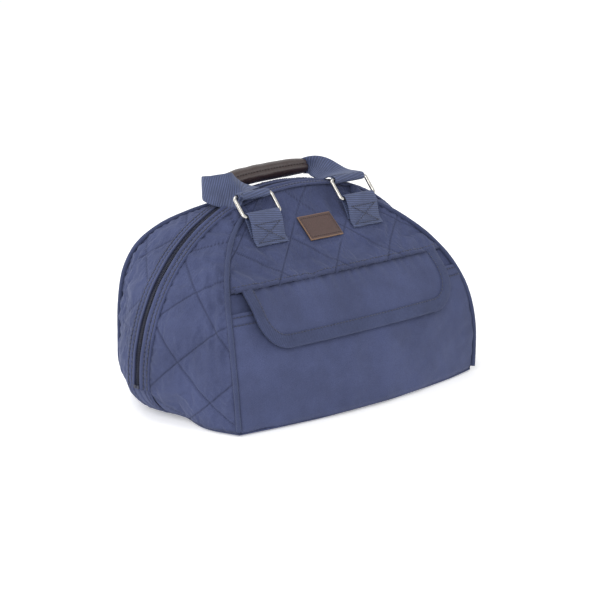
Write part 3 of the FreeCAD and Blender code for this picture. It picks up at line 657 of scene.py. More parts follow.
def padded_panel(name, surface, rows, columns, starts, body, node_names, low=-1.0,
                 flat_at=None, extra=None, edges=(1, 1, 1, 1), gusset=False, spacing=QUILT_SPACING):
    """A quilted panel. Its padding is blown out between the sewn lines by a cloth simulation,
    and a fine groove and its shadow follow each line."""
    u, v = grid(rows, columns, low)
    points = surface(u, v)
    normals = surface_normals(points)
    a, b = arc_coordinates(points, 1), arc_coordinates(points, 0)
    width, height = a[:, -1:], b[-1:, :]
    across, up = (np.abs(points[..., 1]), b[:, -1:] + 0 * b) if gusset else (a - width / 2, b)
    rise, crease_and_painted_shade = quilting(across, up, starts, spacing)
    left, right, bottom, top = edges
    seam = np.zeros_like(a)
    for gap, strength in ((a - a[:, :1], left), (a[:, -1:] - a, right), (b, bottom), (height - b, top)):
        seam = np.maximum(seam, strength * np.exp(-(gap / 1.7) ** 2))
    keep = 1 - seam
    if flat_at is not None:
        keep = keep * (1 - flat_at(points))
    step = 2
    coarse = points[::step, ::step]
    first = distance_to_lines((across + up) / math.sqrt(2), spacing, starts[0])
    second = distance_to_lines((across - up) / math.sqrt(2), spacing, starts[1])
    lines = np.exp(-(np.minimum(first, second) / 1.9) ** 2)
    held = np.maximum(np.clip(lines * 1.3, 0, 1), 1 - keep)[::step, ::step]
    held[0], held[-1], held[:, 0], held[:, -1] = 1, 1, 1, 1
    moved = inflated(coarse, held, 2.6, -0.035)
    moved = resampled(resampled(moved, rows, 0), columns, 1)
    waves = ripples(a, b, len(name), 26) * 0.35 + ripples(a, b, len(name) + 3, 9) * 0.12
    height_map = waves * keep - 0.8 * crease_and_painted_shade * keep - 1.2 * seam
    if extra is not None:
        height_map = height_map + extra(points, a, b)
    final = points + moved + normals * height_map[..., None]
    # Painted shade: darkens the cloth along the quilting lines and, wider, along the edge seams.
    painted_shade = np.clip(np.maximum(crease_and_painted_shade * keep * 0.7, seam ** 0.5), 0, 1)
    uvs = np.stack([a, b], -1) * MM
    piece = sheet_piece(name, final, 2.2, painted_shade, uvs, surface_normals(final))
    finish_piece(piece, body, "quilted_twill", None, node_names)
    return piece, final


def zip_top(x):
    """Height of the zip's line over the top of the bag."""
    return ZIP_SIDE_Z - (ZIP_TOP_RADIUS - ZIP_SIDE_RADIUS) * math.cos(ZIP_JOIN_TILT) + np.sqrt(
        ZIP_TOP_RADIUS ** 2 - x ** 2)


def flap_offset(x, z):
    """How far the flap's inner face stands off the front panel at a place."""
    down = SEAM_HEIGHT - 1 - z
    ease = np.clip(down / FLAP_LENGTH, 0, 1) ** 0.7
    middle = front_surface(np.zeros_like(x), z)[..., 1]
    here = front_surface(x, z)[..., 1]
    clear = 1.8 + 2.6 * smooth_step(down, 0, 18)
    return here - (middle + (here - middle) * (0.60 + 0.20 * ease) - clear)


def upper_surface(u, v):
    side = SEAM_HEIGHT - 0.8 + (FRONT_CROWN_START - SEAM_HEIGHT + 0.8) * v
    x = u * (front_half_width(side) + 0.3)
    z = side + CROWN * v * v * (1 - u * u)
    points = front_surface(x, z)
    ridge = u * RIDGE_REACH
    under_band = np.stack([ridge, np.full_like(u, -RIDGE_EDGE), zip_top(ridge) - 0.4], -1)
    share = smooth_step(v, 0.72, 1.0)[..., None]
    points = points * (1 - share) + under_band * share
    edge = flap_offset(x, np.full_like(x, SEAM_HEIGHT - 1))
    lip = (edge + 3.9) * (1 - 0.55 * smooth_step(np.abs(u), 0.90, 1.0))
    points[..., 1] -= lip * (1 - smooth_step(z, SEAM_HEIGHT - 2, SEAM_HEIGHT + 15))
    return points


def under_trims(points):
    """1 where a tab or the label presses the padding flat."""
    x, z = np.abs(points[..., 0]), points[..., 2]
    tab = smooth_step(WEBBING_WIDTH / 2 + 4 - np.abs(x - TAB_CENTRE), 0, 5) * smooth_step(z, 148, 153)
    beside = np.abs(points[..., 0] - LABEL_MIDDLE)
    label = smooth_step(25.5 - beside, 0, 4) * smooth_step(z, 142, 147) * smooth_step(172 - z, 0, 5)
    return np.maximum(tab * (1 - smooth_step(z, 160, 172)), label)


class BAG_OT_front_panel(bpy.types.Operator):
    """Sew the quilted upper front panel, with its rolled lip over the flap"""
    bl_idname = "bag.front_panel"
    bl_label = "Front panel"

    def execute(self, context):
        def lip_gathers(points, a, b):
            near = np.exp(-(b / 9.0) ** 2)
            tucks = 0.35 * np.sin(a / 2.3 + ripples(a, b, 8, 40))
            return near * (ripples(a, b * 0.2, 31, 14) * 0.5 + tucks)

        points = padded_panel(
            "quilted_front_panel", upper_surface, 65, 251, (7.6, -9.6), "front_shell",
            ["front_upper_panel"], flat_at=under_trims, extra=lip_gathers, edges=(1, 1, 0.25, 1))[1]
        sewn = 4
        line, normals = points[sewn], surface_normals(points)[sewn]
        stitches("lip_topstitch", line[3:-3], normals[3:-3], "front_shell", "quilted_twill")
        return {"FINISHED"}


class BAG_OT_pocket(bpy.types.Operator):
    """Sew the plain lower front and the pocket on it"""
    bl_idname = "bag.pocket"
    bl_label = "Pocket and lower front"

    def execute(self, context):
        u, v = grid(60, 160)
        z = 2.0 + (SEAM_HEIGHT - 4.5) * v
        lower = front_surface(u * (front_half_width(z) - 0.2), z, 9.0)
        lower += surface_normals(lower) * (ripples(u * 150, z, 5, 34) * 0.5 - 0.6)[..., None]
        piece = sheet_piece("plain_lower_front", lower, 1.6)
        finish_piece(piece, "front_shell", "plain_twill", None, ["front_lower_panel"])

        u, v = grid(110, 200)
        z = 2.2 + (POCKET_HEIGHT - 2.2) * v
        x = u * (front_half_width(z) + 0.2)
        pocket = front_surface(x, z, FRONT_BULGE + 1.0)
        normals = surface_normals(pocket)
        a, b = arc_coordinates(pocket, 1), arc_coordinates(pocket, 0)
        side_gap = np.minimum(a, a[:, -1:] - a)
        side_seam = np.exp(-(side_gap / 1.7) ** 2)
        foot_seam = np.exp(-(b / 3.0) ** 2)
        pulls = np.exp(-(side_gap / 26) ** 2) * ripples(a * 0.3, b, 11, 17) * 0.7
        sag = np.exp(-((z - 14) / 14) ** 2) * ripples(a, b * 0.4, 17, 60) * 0.9
        hem = smooth_step(z, POCKET_HEIGHT - 11.5, POCKET_HEIGHT - 10.5)
        rows = [POCKET_HEIGHT - 3.0, POCKET_HEIGHT - 9.0]
        sewn = sum(np.exp(-((z - row) / 0.7) ** 2) for row in rows)
        height = 1.5 + ripples(a, b, 3, 44) * 0.8 + ripples(a, b, 23, 15) * 0.18 + pulls + sag
        height += hem * 0.6 - sewn * 0.5 - 1.6 * side_seam - 2.6 * foot_seam
        under_flap = smooth_step(z, 66, 80) * (1 - smooth_step(np.abs(x), 124, 130))
        height = height * (1 - under_flap * 0.75) + under_flap * 0.9
        final = pocket + normals * height[..., None]
        # Painted shade along the sunk hem stitch rows and, wider, along the side seams.
        painted_shade = np.clip(np.maximum(sewn * 0.6, side_seam ** 0.5), 0, 1)
        piece = sheet_piece("front_pocket", final, 1.1, painted_shade)
        finish_piece(piece, "front_shell", "plain_twill", None, ["pocket_panel"])
        for k, row in enumerate(rows):
            near = int(np.argmin(np.abs(z[:, 0] - row)))
            stitches(f"pocket_hem_stitch_{k + 1}", final[near][2:-2], normals[near][2:-2],
                     "front_shell", "plain_twill")
        return {"FINISHED"}


def flap_surface(x, down):
    z = SEAM_HEIGHT - 1 - down
    points = front_surface(x, z)
    points[..., 1] -= flap_offset(x, z)
    return points


def flap_half_width(down):
    past = np.maximum(0.0, down - (FLAP_LENGTH - FLAP_CORNER)) / FLAP_CORNER
    return FLAP_HALF_WIDTH - FLAP_CORNER * (1 - np.sqrt(np.maximum(0.0, 1 - (past * 0.985) ** 2)))


def rim_places(offset, count):
    """Places along the flap's free edge, an offset in from it, as x and the drop from the seam."""
    side, run, reach = FLAP_LENGTH - FLAP_CORNER, FLAP_HALF_WIDTH - FLAP_CORNER, FLAP_CORNER - offset
    turn = np.linspace(0, math.pi / 2, 24)
    straight = np.linspace(0.4, side, 12, endpoint=False)
    x = np.concatenate([np.full(12, -FLAP_HALF_WIDTH + offset), -run - reach * np.cos(turn)])
    down = np.concatenate([straight, side + reach * np.sin(turn)])
    bottom = np.linspace(-run, run, 60)[1:-1]
    x = np.concatenate([x, bottom, -x[::-1]])
    down = np.concatenate([down, np.full(58, FLAP_LENGTH - offset), down[::-1]])
    share = np.linspace(0, len(x) - 1, count)
    return np.interp(share, np.arange(len(x)), x), np.interp(share, np.arange(len(x)), down)


class BAG_OT_flap(bpy.types.Operator):
    """Sew the pocket's flap with its woven binding and touch fastener"""
    bl_idname = "bag.flap"
    bl_label = "Flap"

    def hang(self, piece):
        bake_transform(piece)

    def execute(self, context):
        u, v = grid(70, 190)
        down = -1.2 + (FLAP_LENGTH + 1.0) * np.sin(v * math.pi / 2)
        x = u * (flap_half_width(np.maximum(down, 0)) - 0.4)

        def relief(x, down):
            tucks = 0.45 * np.sin(x / 1.9 + 2.5 * ripples(x, down, 5, 60))
            tucks = tucks + 0.5 * ripples(x, down * 0.15, 12, 11)
            gathers = np.exp(-(np.maximum(down - 3, 0) / 7.0)) * tucks
            swell = ripples(x, down * 0.7, 19, 75) * 0.9 * smooth_step(down, 4, 22)
            fine = ripples(x, down, 29, 20) * 0.22
            return gathers * smooth_step(down, 0, 3) + swell + fine

        base = flap_surface(x, down)
        normals = surface_normals(base, (0, 0, 90))
        outer = base + normals * (1.4 + relief(x, down))[..., None]
        # Painted shadow along the top of the flap, under the panel's overhanging lip.
        piece = sheet_piece("flap", outer, 1.3, np.exp(-((down - 1.0) / 2.2) ** 2) * 0.7, None, normals)
        finish_piece(piece, None, "plain_twill", None, ["flap_panel"])
        self.hang(piece)

        offsets = np.array([-0.7, -0.9, -0.4, 0.2, 2.0, 3.6, 5.2, 6.8, 8.4, 10.0, 10.8, BINDING_WIDTH])
        proud = np.array([-0.6, 0.6, 1.25, 1.5, 1.6, 1.65, 1.6, 1.65, 1.6, 1.15, 0.8, -0.1])
        count = 420
        places = [rim_places(offset, count) for offset in offsets]
        x = np.array([place[0] for place in places])
        down = np.array([place[1] for place in places])
        base = flap_surface(x, down)
        normals = unit(np.cross(np.gradient(base, axis=1), np.gradient(base, axis=0)))
        normals *= -np.sign(normals[..., 1:2])
        along = arc_coordinates(base, 1)
        ribbing = 0.10 * np.sin(along * 2 * math.pi / 2.2)
        stitched = -0.35 * np.exp(-((offsets - 9.4) / 0.8) ** 2)
        height = proud[:, None] + relief(x, down) + ribbing + stitched[:, None] + 1.4
        outer = base + normals * height[..., None]
        across = np.broadcast_to(offsets[:, None], along.shape)
        piece = sheet_piece("flap_edge_binding", outer, 0.8, None,
                            np.stack([along, across], -1) * MM, normals)
        finish_piece(piece, None, "binding_tape", None, ["flap_binding"])
        self.hang(piece)
        row = 9
        stitch = stitches("flap_binding_stitch", outer[row][4:-4], normals[row][4:-4], None, "binding_tape")
        self.hang(stitch)

        u, v = grid(16, 44)
        pad = flap_surface(u * 21.5, 30.5 + 11.0 * (1 - v))
        pad[..., 1] += 0.15
        pad_piece = sheet_piece("flap_touch_pad", pad + np.array([0, 0.5, 0]), 0.45, None, None,
                                surface_normals(pad))
        finish_piece(pad_piece, "flap", "touch_fastener", None, ["flap_fastener"])
        pad = front_surface(u * 21.5, 82.5 + 11.0 * v, FRONT_BULGE + 1.0)
        pad += surface_normals(pad) * 2.6
        pad_piece = sheet_piece("pocket_touch_pad", pad, 0.6)
        finish_piece(pad_piece, "front_shell", "touch_fastener", None, ["pocket_fastener"])
        return {"FINISHED"}


def gusset_surface(s, v, side):
    """A side gusset from the piping, s at 0, to the zip's band, s at 1."""
    front = side == FRONT
    half_width, depth = (front_half_width, front_depth) if front else (back_half_width, back_depth)
    rise = v if front else np.sin(v * math.pi / 2)
    crown = FRONT_CROWN_START if front else BACK_CROWN_START
    z_piping = LOWER_EDGE + (crown - LOWER_EDGE) * rise
    z_zip = LOWER_EDGE + (ZIP_CROWN - LOWER_EDGE) * rise
    z = z_piping + (z_zip - z_piping) * s
    outward = s + 0.25 * s * (1 - s)
    inner = half_width(z_piping)
    turn = np.sin(s * math.pi / 2) ** (4.0 if front else 0.7)
    x = inner + (zip_half_width(z_zip) - inner) * outward - turned_in(z, BASE_ROUNDING) * turn
    y = depth(z_piping) + (BAND_WIDTH - 0.6 - depth(z_piping)) * s
    return np.stack([-x, side * y, z], -1)


class BAG_OT_gussets(bpy.types.Operator):
    """Sew the four quilted side gussets and the plain patch below each zip end"""
    bl_idname = "bag.gussets"
    bl_label = "Gussets"

    def execute(self, context):
        for half, side, starts in (("front", FRONT, (82.5, -21.5)), ("back", BACK, (51.5, -86.5))):
            def folds(points, a, b):
                z, y = points[..., 2], np.abs(points[..., 1])
                deep = front_depth(z) if side == FRONT else back_depth(z)
                gap = deep - y
                band = np.exp(-((gap - 15) / 12.0) ** 2) * smooth_step(z, 30, 70)
                band = band * (1 - smooth_step(z, 130, 165))
                soft = 0.9 * np.sin(gap / 11.0 * 2 * math.pi + z * 0.02) * band
                return soft + ripples(y, z, 41, 52) * 0.9 * np.clip(gap / 12, 0, 1)

            for name, sign in (("left", 1), ("right", -1)):
                def surface(s, v):
                    points = gusset_surface(s, v, side)
                    points[..., 0] *= sign
                    return points

                nodes = [f"{half}_gusset_{name}"] + ([f"front_sill_{name}"] if side == FRONT else [])
                piece = padded_panel(
                    f"quilted_{half}_gusset_{name}", surface, 151, 77, starts,
                    None if side == FRONT else "back_shell", nodes, low=0.0, extra=folds,
                    edges=(1, 0.4, 0.4, 0.6), gusset=True, spacing=GUSSET_QUILT_SPACING)[0]
                if side == FRONT:
                    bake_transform(piece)
        for name, sign in (("left", -1), ("right", 1)):
            u, v = grid(40, 46)
            z = 0.8 + (ZIP_END_HEIGHT + 1.2) * v
            x = sign * (zip_half_width(z) - turned_in(z, BASE_ROUNDING))
            patch = np.stack([x, u * BAND_WIDTH, z], -1)
            normals = surface_normals(patch)
            y = np.abs(patch[..., 1])
            sewn = sum(np.exp(-((y - row) / 0.9) ** 2) for row in ZIP_STITCH_ROWS)
            pucker = 0.35 * np.sin(z * 2 * math.pi / 4.0) * np.exp(-((y - 10.6) / 3.2) ** 2)
            height = 1.5 + pucker - 0.8 * sewn + ripples(patch[..., 1], z, 6, 18) * 0.25
            height -= 1.2 * smooth_step(y, 14.0, 15.0) + 0.9 * np.exp(-(y / 1.1) ** 2)
            final = patch + normals * height[..., None]
            # Painted shade along the two sunk stitch rows.
            piece = sheet_piece(f"zip_foot_patch_{name}", final, 1.6, np.clip(sewn, 0, 1) * 0.7)
            finish_piece(piece, "back_shell", "plain_twill", None, [f"zip_end_patch_{name}"])
        return {"FINISHED"}


def back_panel_surface(u, v):
    rise = np.sin(v * math.pi / 2)
    side = LOWER_EDGE + (BACK_CROWN_START - LOWER_EDGE) * rise
    x = u * (back_half_width(side) + 0.3)
    z = side + 7.0 * rise ** 8 * (1 - u * u)
    points = back_surface(x, z)
    ridge = u * RIDGE_REACH
    under_band = np.stack([ridge, np.full_like(u, RIDGE_EDGE), zip_top(ridge) - 0.4], -1)
    share = smooth_step(v, 0.80, 1.0)[..., None]
    return points * (1 - share) + under_band * share


def bottom_loop():
    """The bag's lower edge in order: front, right gussets, back, left gussets."""
    u = np.linspace(-1, 1, 60)
    z = np.full_like(u, LOWER_EDGE)
    front = front_surface(u * front_half_width(z), z, FRONT_BULGE - 2)
    back = back_panel_surface(u, np.zeros_like(u))[::-1]
    s = np.linspace(0, 1, 24)
    near = mirrored(gusset_surface(s, np.zeros_like(s), FRONT))
    far = mirrored(gusset_surface(s, np.zeros_like(s), BACK))[::-1]
    loop = [front[:-1], near[:-1], far[:-1], back[:-1], mirrored(far[::-1])[:-1], mirrored(near[::-1])[:-1]]
    return np.concatenate(loop)


def filled_loop(loop, rings, z, scale):
    """Rings of points from the loop in to a small loop in its middle, all at one height."""
    middle = loop.mean(0)
    shares = np.linspace(scale, 0.02, rings)[:, None, None]
    points = middle + (loop - middle)[None] * shares
    points[..., 2] = z
    return points


class BAG_OT_back(bpy.types.Operator):
    """Sew the quilted back panel and the base, and lay the linings inside"""
    bl_idname = "bag.back"
    bl_label = "Back, base and linings"

    def execute(self, context):
        padded_panel("quilted_back_panel", back_panel_surface, 131, 201, (20.0, 20.0),
                     "back_shell", ["back_panel"])
        loop = bottom_loop()
        closed = np.concatenate([loop, loop[:1]])
        for name, z, scale, thickness, slot, cad in (
                ("base_panel_cloth", 0.35, 0.995, 1.3, "plain_twill", "base_panel"),
                ("base_lining_cloth", 5.9, 0.94, 0.7, "lining_cloth", "base_lining")):
            flat = filled_loop(closed, 26, z, scale)
            up = np.zeros_like(flat)
            up[..., 2] = -1.0 if slot == "plain_twill" else 1.0
            flat += up * 0.25 * ripples(flat[..., 0], flat[..., 1], 9, 60)[..., None]
            uvs = flat[..., :2] * MM
            piece = sheet_piece(name, flat, thickness, None, uvs, up)
            finish_piece(piece, "back_shell", slot, None, [cad])
        u, v = grid(70, 90)
        inner = upper_like(u, v, front_surface, front_half_width, 8.0, 175.0, CROWN, 8.0)
        self.lining("front_lining_cloth", inner, 6.0, "front_shell", "front_lining")
        inner = upper_like(u, v, back_surface, back_half_width, 8.0, 177.0, 7.0)
        self.lining("back_lining_cloth", inner, 5.4, "back_shell", "back_lining")
        return {"FINISHED"}

    def lining(self, name, points, depth, body, cad):
        normals = surface_normals(points)
        wrinkles = ripples(points[..., 0], points[..., 2], 14, 40) * 0.7
        points = points - normals * (depth + wrinkles)[..., None]
        piece = sheet_piece(name, points, 0.7, None, None, normals)
        finish_piece(piece, body, "lining_cloth", None, [cad])


def upper_like(u, v, surface, half_width, low, high, crown, *bulge):
    """A panel's shape drawn in a little at its sides, for the lining behind it."""
    side = low + (high - low) * np.sin(v * math.pi / 2)
    z = side + crown * np.sin(v * math.pi / 2) ** 4 * (1 - u * u)
    return surface(u * half_width(side) * 0.965, z, *bulge)


def piping_line(half_width, depth, low, high, side):
    """The left seam from the base up to where it runs in under the zip's facing."""
    z = low + (high - low) * np.sin(np.linspace(0, math.pi / 2, 60))
    x = -(half_width(z) + 1.0)
    y = side * (depth(z) + 1.0)
    line = np.stack([x, y, z], -1)
    line = np.concatenate([line, [[-73.2, side * 15.4, 185.0]]])
    steps = arc_coordinates(line[None], 1)[0]
    at = np.linspace(0, steps[-1], 150)
    return np.stack([np.interp(at, steps, line[:, k]) for k in range(3)], -1)


class BAG_OT_piping(bpy.types.Operator):
    """Run the cloth piping up the four seams"""
    bl_idname = "bag.piping"
    bl_label = "Piping"

    def execute(self, context):
        radius = context.scene.bag_sizes.piping_radius / MM
        seams = (("front", FRONT, front_half_width, front_depth, 178.0, "front_shell"),
                 ("back", BACK, back_half_width, back_depth, 180.0, "back_shell"))
        for half, side, half_width, depth, high, body in seams:
            line = piping_line(half_width, depth, 4.5, high, side)
            tangents = unit(np.gradient(line, axis=0))
            outward = unit(line * np.array([1, 1, 0]) * np.array([0.6, 1.0, 0]))
            sides = unit(np.cross(tangents, outward))
            overs = unit(np.cross(sides, tangents))
            turns = np.linspace(0, 2 * math.pi, 16, endpoint=False)
            along = arc_coordinates(line[None], 1)[0]
            wander = ripples(along, along * 0, 3, 30) * 0.12 + ripples(along, along * 0, 7, 9) * 0.05
            ring = np.stack([np.cos(turns), np.sin(turns)], -1)
            section = ring[None] * (radius + wander)[:, None, None]
            for name, sign in (("left", 1), ("right", -1)):
                rings = swept(line, sides, overs, section)
                rings[..., 0] *= sign
                piece = tube_piece(f"{half}_seam_piping_{name}", rings)
                finish_piece(piece, body, "piping_cloth", None, [f"{half}_piping_{name}"])
        return {"FINISHED"}


class BAG_OT_zip(bpy.types.Operator):
    """Sew the zip: puckered bands, tapes and interlocking coils"""
    bl_idname = "bag.zip"
    bl_label = "Zip"

    def execute(self, context):
        points, normals, tangents, reach = zip_path(1.0)
        pitch = context.scene.bag_sizes.stitch_pitch / MM
        # The facing in section, from its outer edge to the lip beside the teeth: places and heights.
        outer = (15.5, 15.3, 14.4, 13.4, 12.6, 11.4, 10.2, 9.2, 8.4, 7.6, 6.8, 5.8, 4.8)
        front_up = (-0.4, 0.7, 1.5, 1.25, 1.15, 1.7, 1.75, 1.6, 0.95, 1.4, 2.3, 3.0, 3.1, 2.6, 1.5, 0.2)
        back_up = (-0.4, 0.7, 1.5, 1.25, 1.15, 1.6, 1.7, 1.6, 1.1, 1.5, 1.9, 2.2, 2.2, 1.8, 1.0, 0.1)
        halves = (("front", FRONT, "front_shell", outer + (4.0, 3.5, 3.45), front_up),
                  ("back", BACK, "back_shell", outer + (4.2, 3.8, 3.6), back_up))
        for half, side, body, across, up in halves:
            y = resampled(across, 46)
            up = resampled(up, 46)
            between = np.exp(-((y[:, None] - 10.6) / 3.4) ** 2)
            phase = reach[None] * 2 * math.pi / pitch
            pucker = (0.34 * np.sin(phase) + 0.22 * np.sin(phase * 0.53 + 1.7)) * between
            roll = ripples(reach[None], y[:, None] * 2, 13, 22) * 0.22 + pucker
            roll = roll * smooth_step(15.4 - y[:, None], 0, 1.2)
            height = up[:, None] + roll
            grid_points = points[None] + normals[None] * height[..., None]
            grid_points[..., 1] = side * (y[:, None] + 0.15 * ripples(reach[None], y[:, None], 3, 30))
            over = np.broadcast_to(normals[None], grid_points.shape)
            # Painted shade along the stitch rows and in the groove beside the teeth.
            sewn = sum(np.exp(-((y - row) / 0.7) ** 2) for row in ZIP_STITCH_ROWS)
            painted_shade = np.maximum(np.clip(sewn, 0, 1) * 0.85, smooth_step(-y, -4.6, -3.6))
            painted_shade = np.broadcast_to(painted_shade[:, None], height.shape)
            uvs = np.stack(np.broadcast_arrays(reach[None], y[:, None]), -1) * MM
            outward = surface_normals(grid_points)
            outward = np.where((outward * over).sum(-1, keepdims=True) < 0, -outward, outward)
            piece = sheet_piece(f"{half}_zip_facing", grid_points, 1.0, painted_shade, uvs,
                                unit(outward * 0.3 + over * 0.7))
            finish_piece(piece, body, "plain_twill", None, [f"{half}_zip_band"])
            for k, row in enumerate(ZIP_STITCH_ROWS):
                near = int(np.argmin(np.abs(y - row)))
                stitches(f"{half}_zip_stitch_{k + 1}", grid_points[near], normals, body, "plain_twill",
                         pitch, lift=0.3, width=1.3)

            flat_y = np.linspace(0.9, 13.5, 8)
            tape = points[None] - normals[None] * 0.15 + 0 * flat_y[:, None, None]
            tape[..., 1] = side * flat_y[:, None]
            uvs = np.stack(np.broadcast_arrays(reach[None], flat_y[:, None]), -1) * MM
            piece = sheet_piece(f"{half}_zip_woven_tape", tape, 0.6, None, uvs, np.broadcast_to(
                normals[None], tape.shape))
            finish_piece(piece, body, "binding_tape", "zip_coil", [f"{half}_zip_tape"])

            step = 1.6
            shift = 0 if side == FRONT else step / 2
            at = np.arange(3 + shift, reach[-1] - 3, step)
            place, over_at, along = (
                np.stack([np.interp(at, reach, row[:, k]) for k in range(3)], -1)
                for row in (points, normals, tangents))
            place[:, 1] = side * 1.45
            across = np.broadcast_to([0.0, 1.0, 0.0], place.shape)
            shape = bead(3.6, 0.74, 1.5)
            piece = copied_along(f"{half}_zip_coil", shape, place + over_at * 0.75, across, along, over_at)
            finish_piece(piece, body, "zip_coil", None, [f"{half}_zip_teeth"])
        return {"FINISHED"}


def ribbon(name, middles, ways, widths, thickness, ripple=0.0, folds=0.0):
    """A strip of webbing with rounded edges. Ways point across it, and folds raise its middle."""
    middles, ways = np.asarray(middles, float), unit(np.asarray(ways, float))
    along = unit(np.gradient(middles, axis=0))
    overs = unit(np.cross(along, ways))
    ways = unit(np.cross(overs, along))
    turns = np.linspace(0, 2 * math.pi, 40, endpoint=False)
    flat = np.sign(np.cos(turns)) * np.abs(np.cos(turns)) ** 0.45
    over = np.sign(np.sin(turns)) * np.abs(np.sin(turns)) ** 0.30
    reach = arc_coordinates(middles[None], 1)[0]
    bow = ripple * ripples(reach[:, None], flat[None] * 12, 7, 26)
    bow = bow + np.reshape(folds, (-1, 1)) * (1 - np.abs(flat[None])) ** 1.3
    section = np.stack([flat[None] * np.asarray(widths)[:, None] / 2,
                        np.broadcast_to(over[None] * thickness / 2, bow.shape) + bow], -1)
    rings = swept(middles, ways, overs, section)
    uvs = np.stack(np.broadcast_arrays(section[..., 0], reach[:, None]), -1) * MM
    return tube_piece(name, rings, uvs)


def arc_path(centre, radius, start, end, count):
    """Points in the plane across the bag, round a bar, from one angle to another in degrees."""
    angles = np.radians(np.linspace(start, end, count))
    y = centre[0] + radius * np.cos(angles)
    z = centre[1] + radius * np.sin(angles)
    return np.stack([np.zeros(count), y, z], -1)


def smooth_path(points, count):
    """A smooth curve through the points, cut into even steps."""
    fine = resampled(points, 400)
    steps = arc_coordinates(fine[None], 1)[0]
    at = np.linspace(0, steps[-1], count)
    return np.stack([np.interp(at, steps, fine[:, k]) for k in range(fine.shape[1])], -1)


class BAG_OT_tabs(bpy.types.Operator):
    """Sew the four webbing tabs that hold the rings"""
    bl_idname = "bag.tabs"
    bl_label = "Tabs"

    def execute(self, context):
        for half, side, bar, body in (("front", FRONT, FRONT_BAR, "front_shell"),
                                      ("back", BACK, BACK_BAR, "back_shell")):
            surface = front_surface if side == FRONT else back_surface
            foot = TAB_FOOT if side == FRONT else BACK_TAB_FOOT

            def on_panel(z, proud):
                x = np.array(TAB_CENTRE)
                return [0, surface(x, np.array(float(z)))[1] + side * proud, z]

            feet = [on_panel(foot, 2.2), on_panel(foot + 2.5, 2.8), on_panel(foot + 6.5, 3.9)]
            top = np.array([0, bar[0], bar[1]])
            lean = unit(top - np.array(feet[-1]))
            away = np.array([0, -lean[2], lean[1]]) * (1 if side == FRONT else -1)
            radius = 3.0
            start = math.degrees(math.atan2(away[2], away[1]))
            sweep = -215 if side == FRONT else 215
            round_bar = arc_path(bar, radius, start, start + sweep, 30)
            behind = np.array(feet[-1]) - away * 2.0 + lean * 2
            outer = feet + [top + away * radius - lean * 8]
            path = smooth_path(outer + list(round_bar[::3]) + [behind + lean * 8, behind], 130)
            across = np.tile([1.0, 0, 0], (len(path), 1))
            for name, sign in (("left", -1), ("right", 1)):
                placed = path + np.array([sign * TAB_CENTRE, 0, 0])
                piece = ribbon(f"{half}_ring_tab_{name}", placed, across, np.full(len(path), 39.5), 1.5)
                finish_piece(piece, body, "webbing", None, [f"{half}_tab_{name}"])
                facing = np.array([0.0, away[1], away[2]])
                reach = arc_coordinates(placed[None], 1)[0]
                low, high = (placed[int(np.argmin(np.abs(reach - at)))] for at in (3.0, 20.5))
                share = np.linspace(0, 1, 30)[:, None]
                span = np.linspace(-17.0, 17.0, 30)[:, None] * np.array([1.0, 0, 0])
                middle = low * (1 - share) + high * share
                rows = [low + span, high + span, middle + span * 0.9, middle - span * 0.9]
                rows = [row + facing * 0.9 for row in rows]
                for k, line in enumerate(rows):
                    stitches(f"{half}_tab_stitch_{name}_{k + 1}", line, np.tile(facing, (30, 1)), body,
                             "webbing", 2.6)
        return {"FINISHED"}


def bar_top(bar, lean):
    return bar[0] + RING_HEIGHT * math.sin(lean), bar[1] + RING_HEIGHT * math.cos(lean)


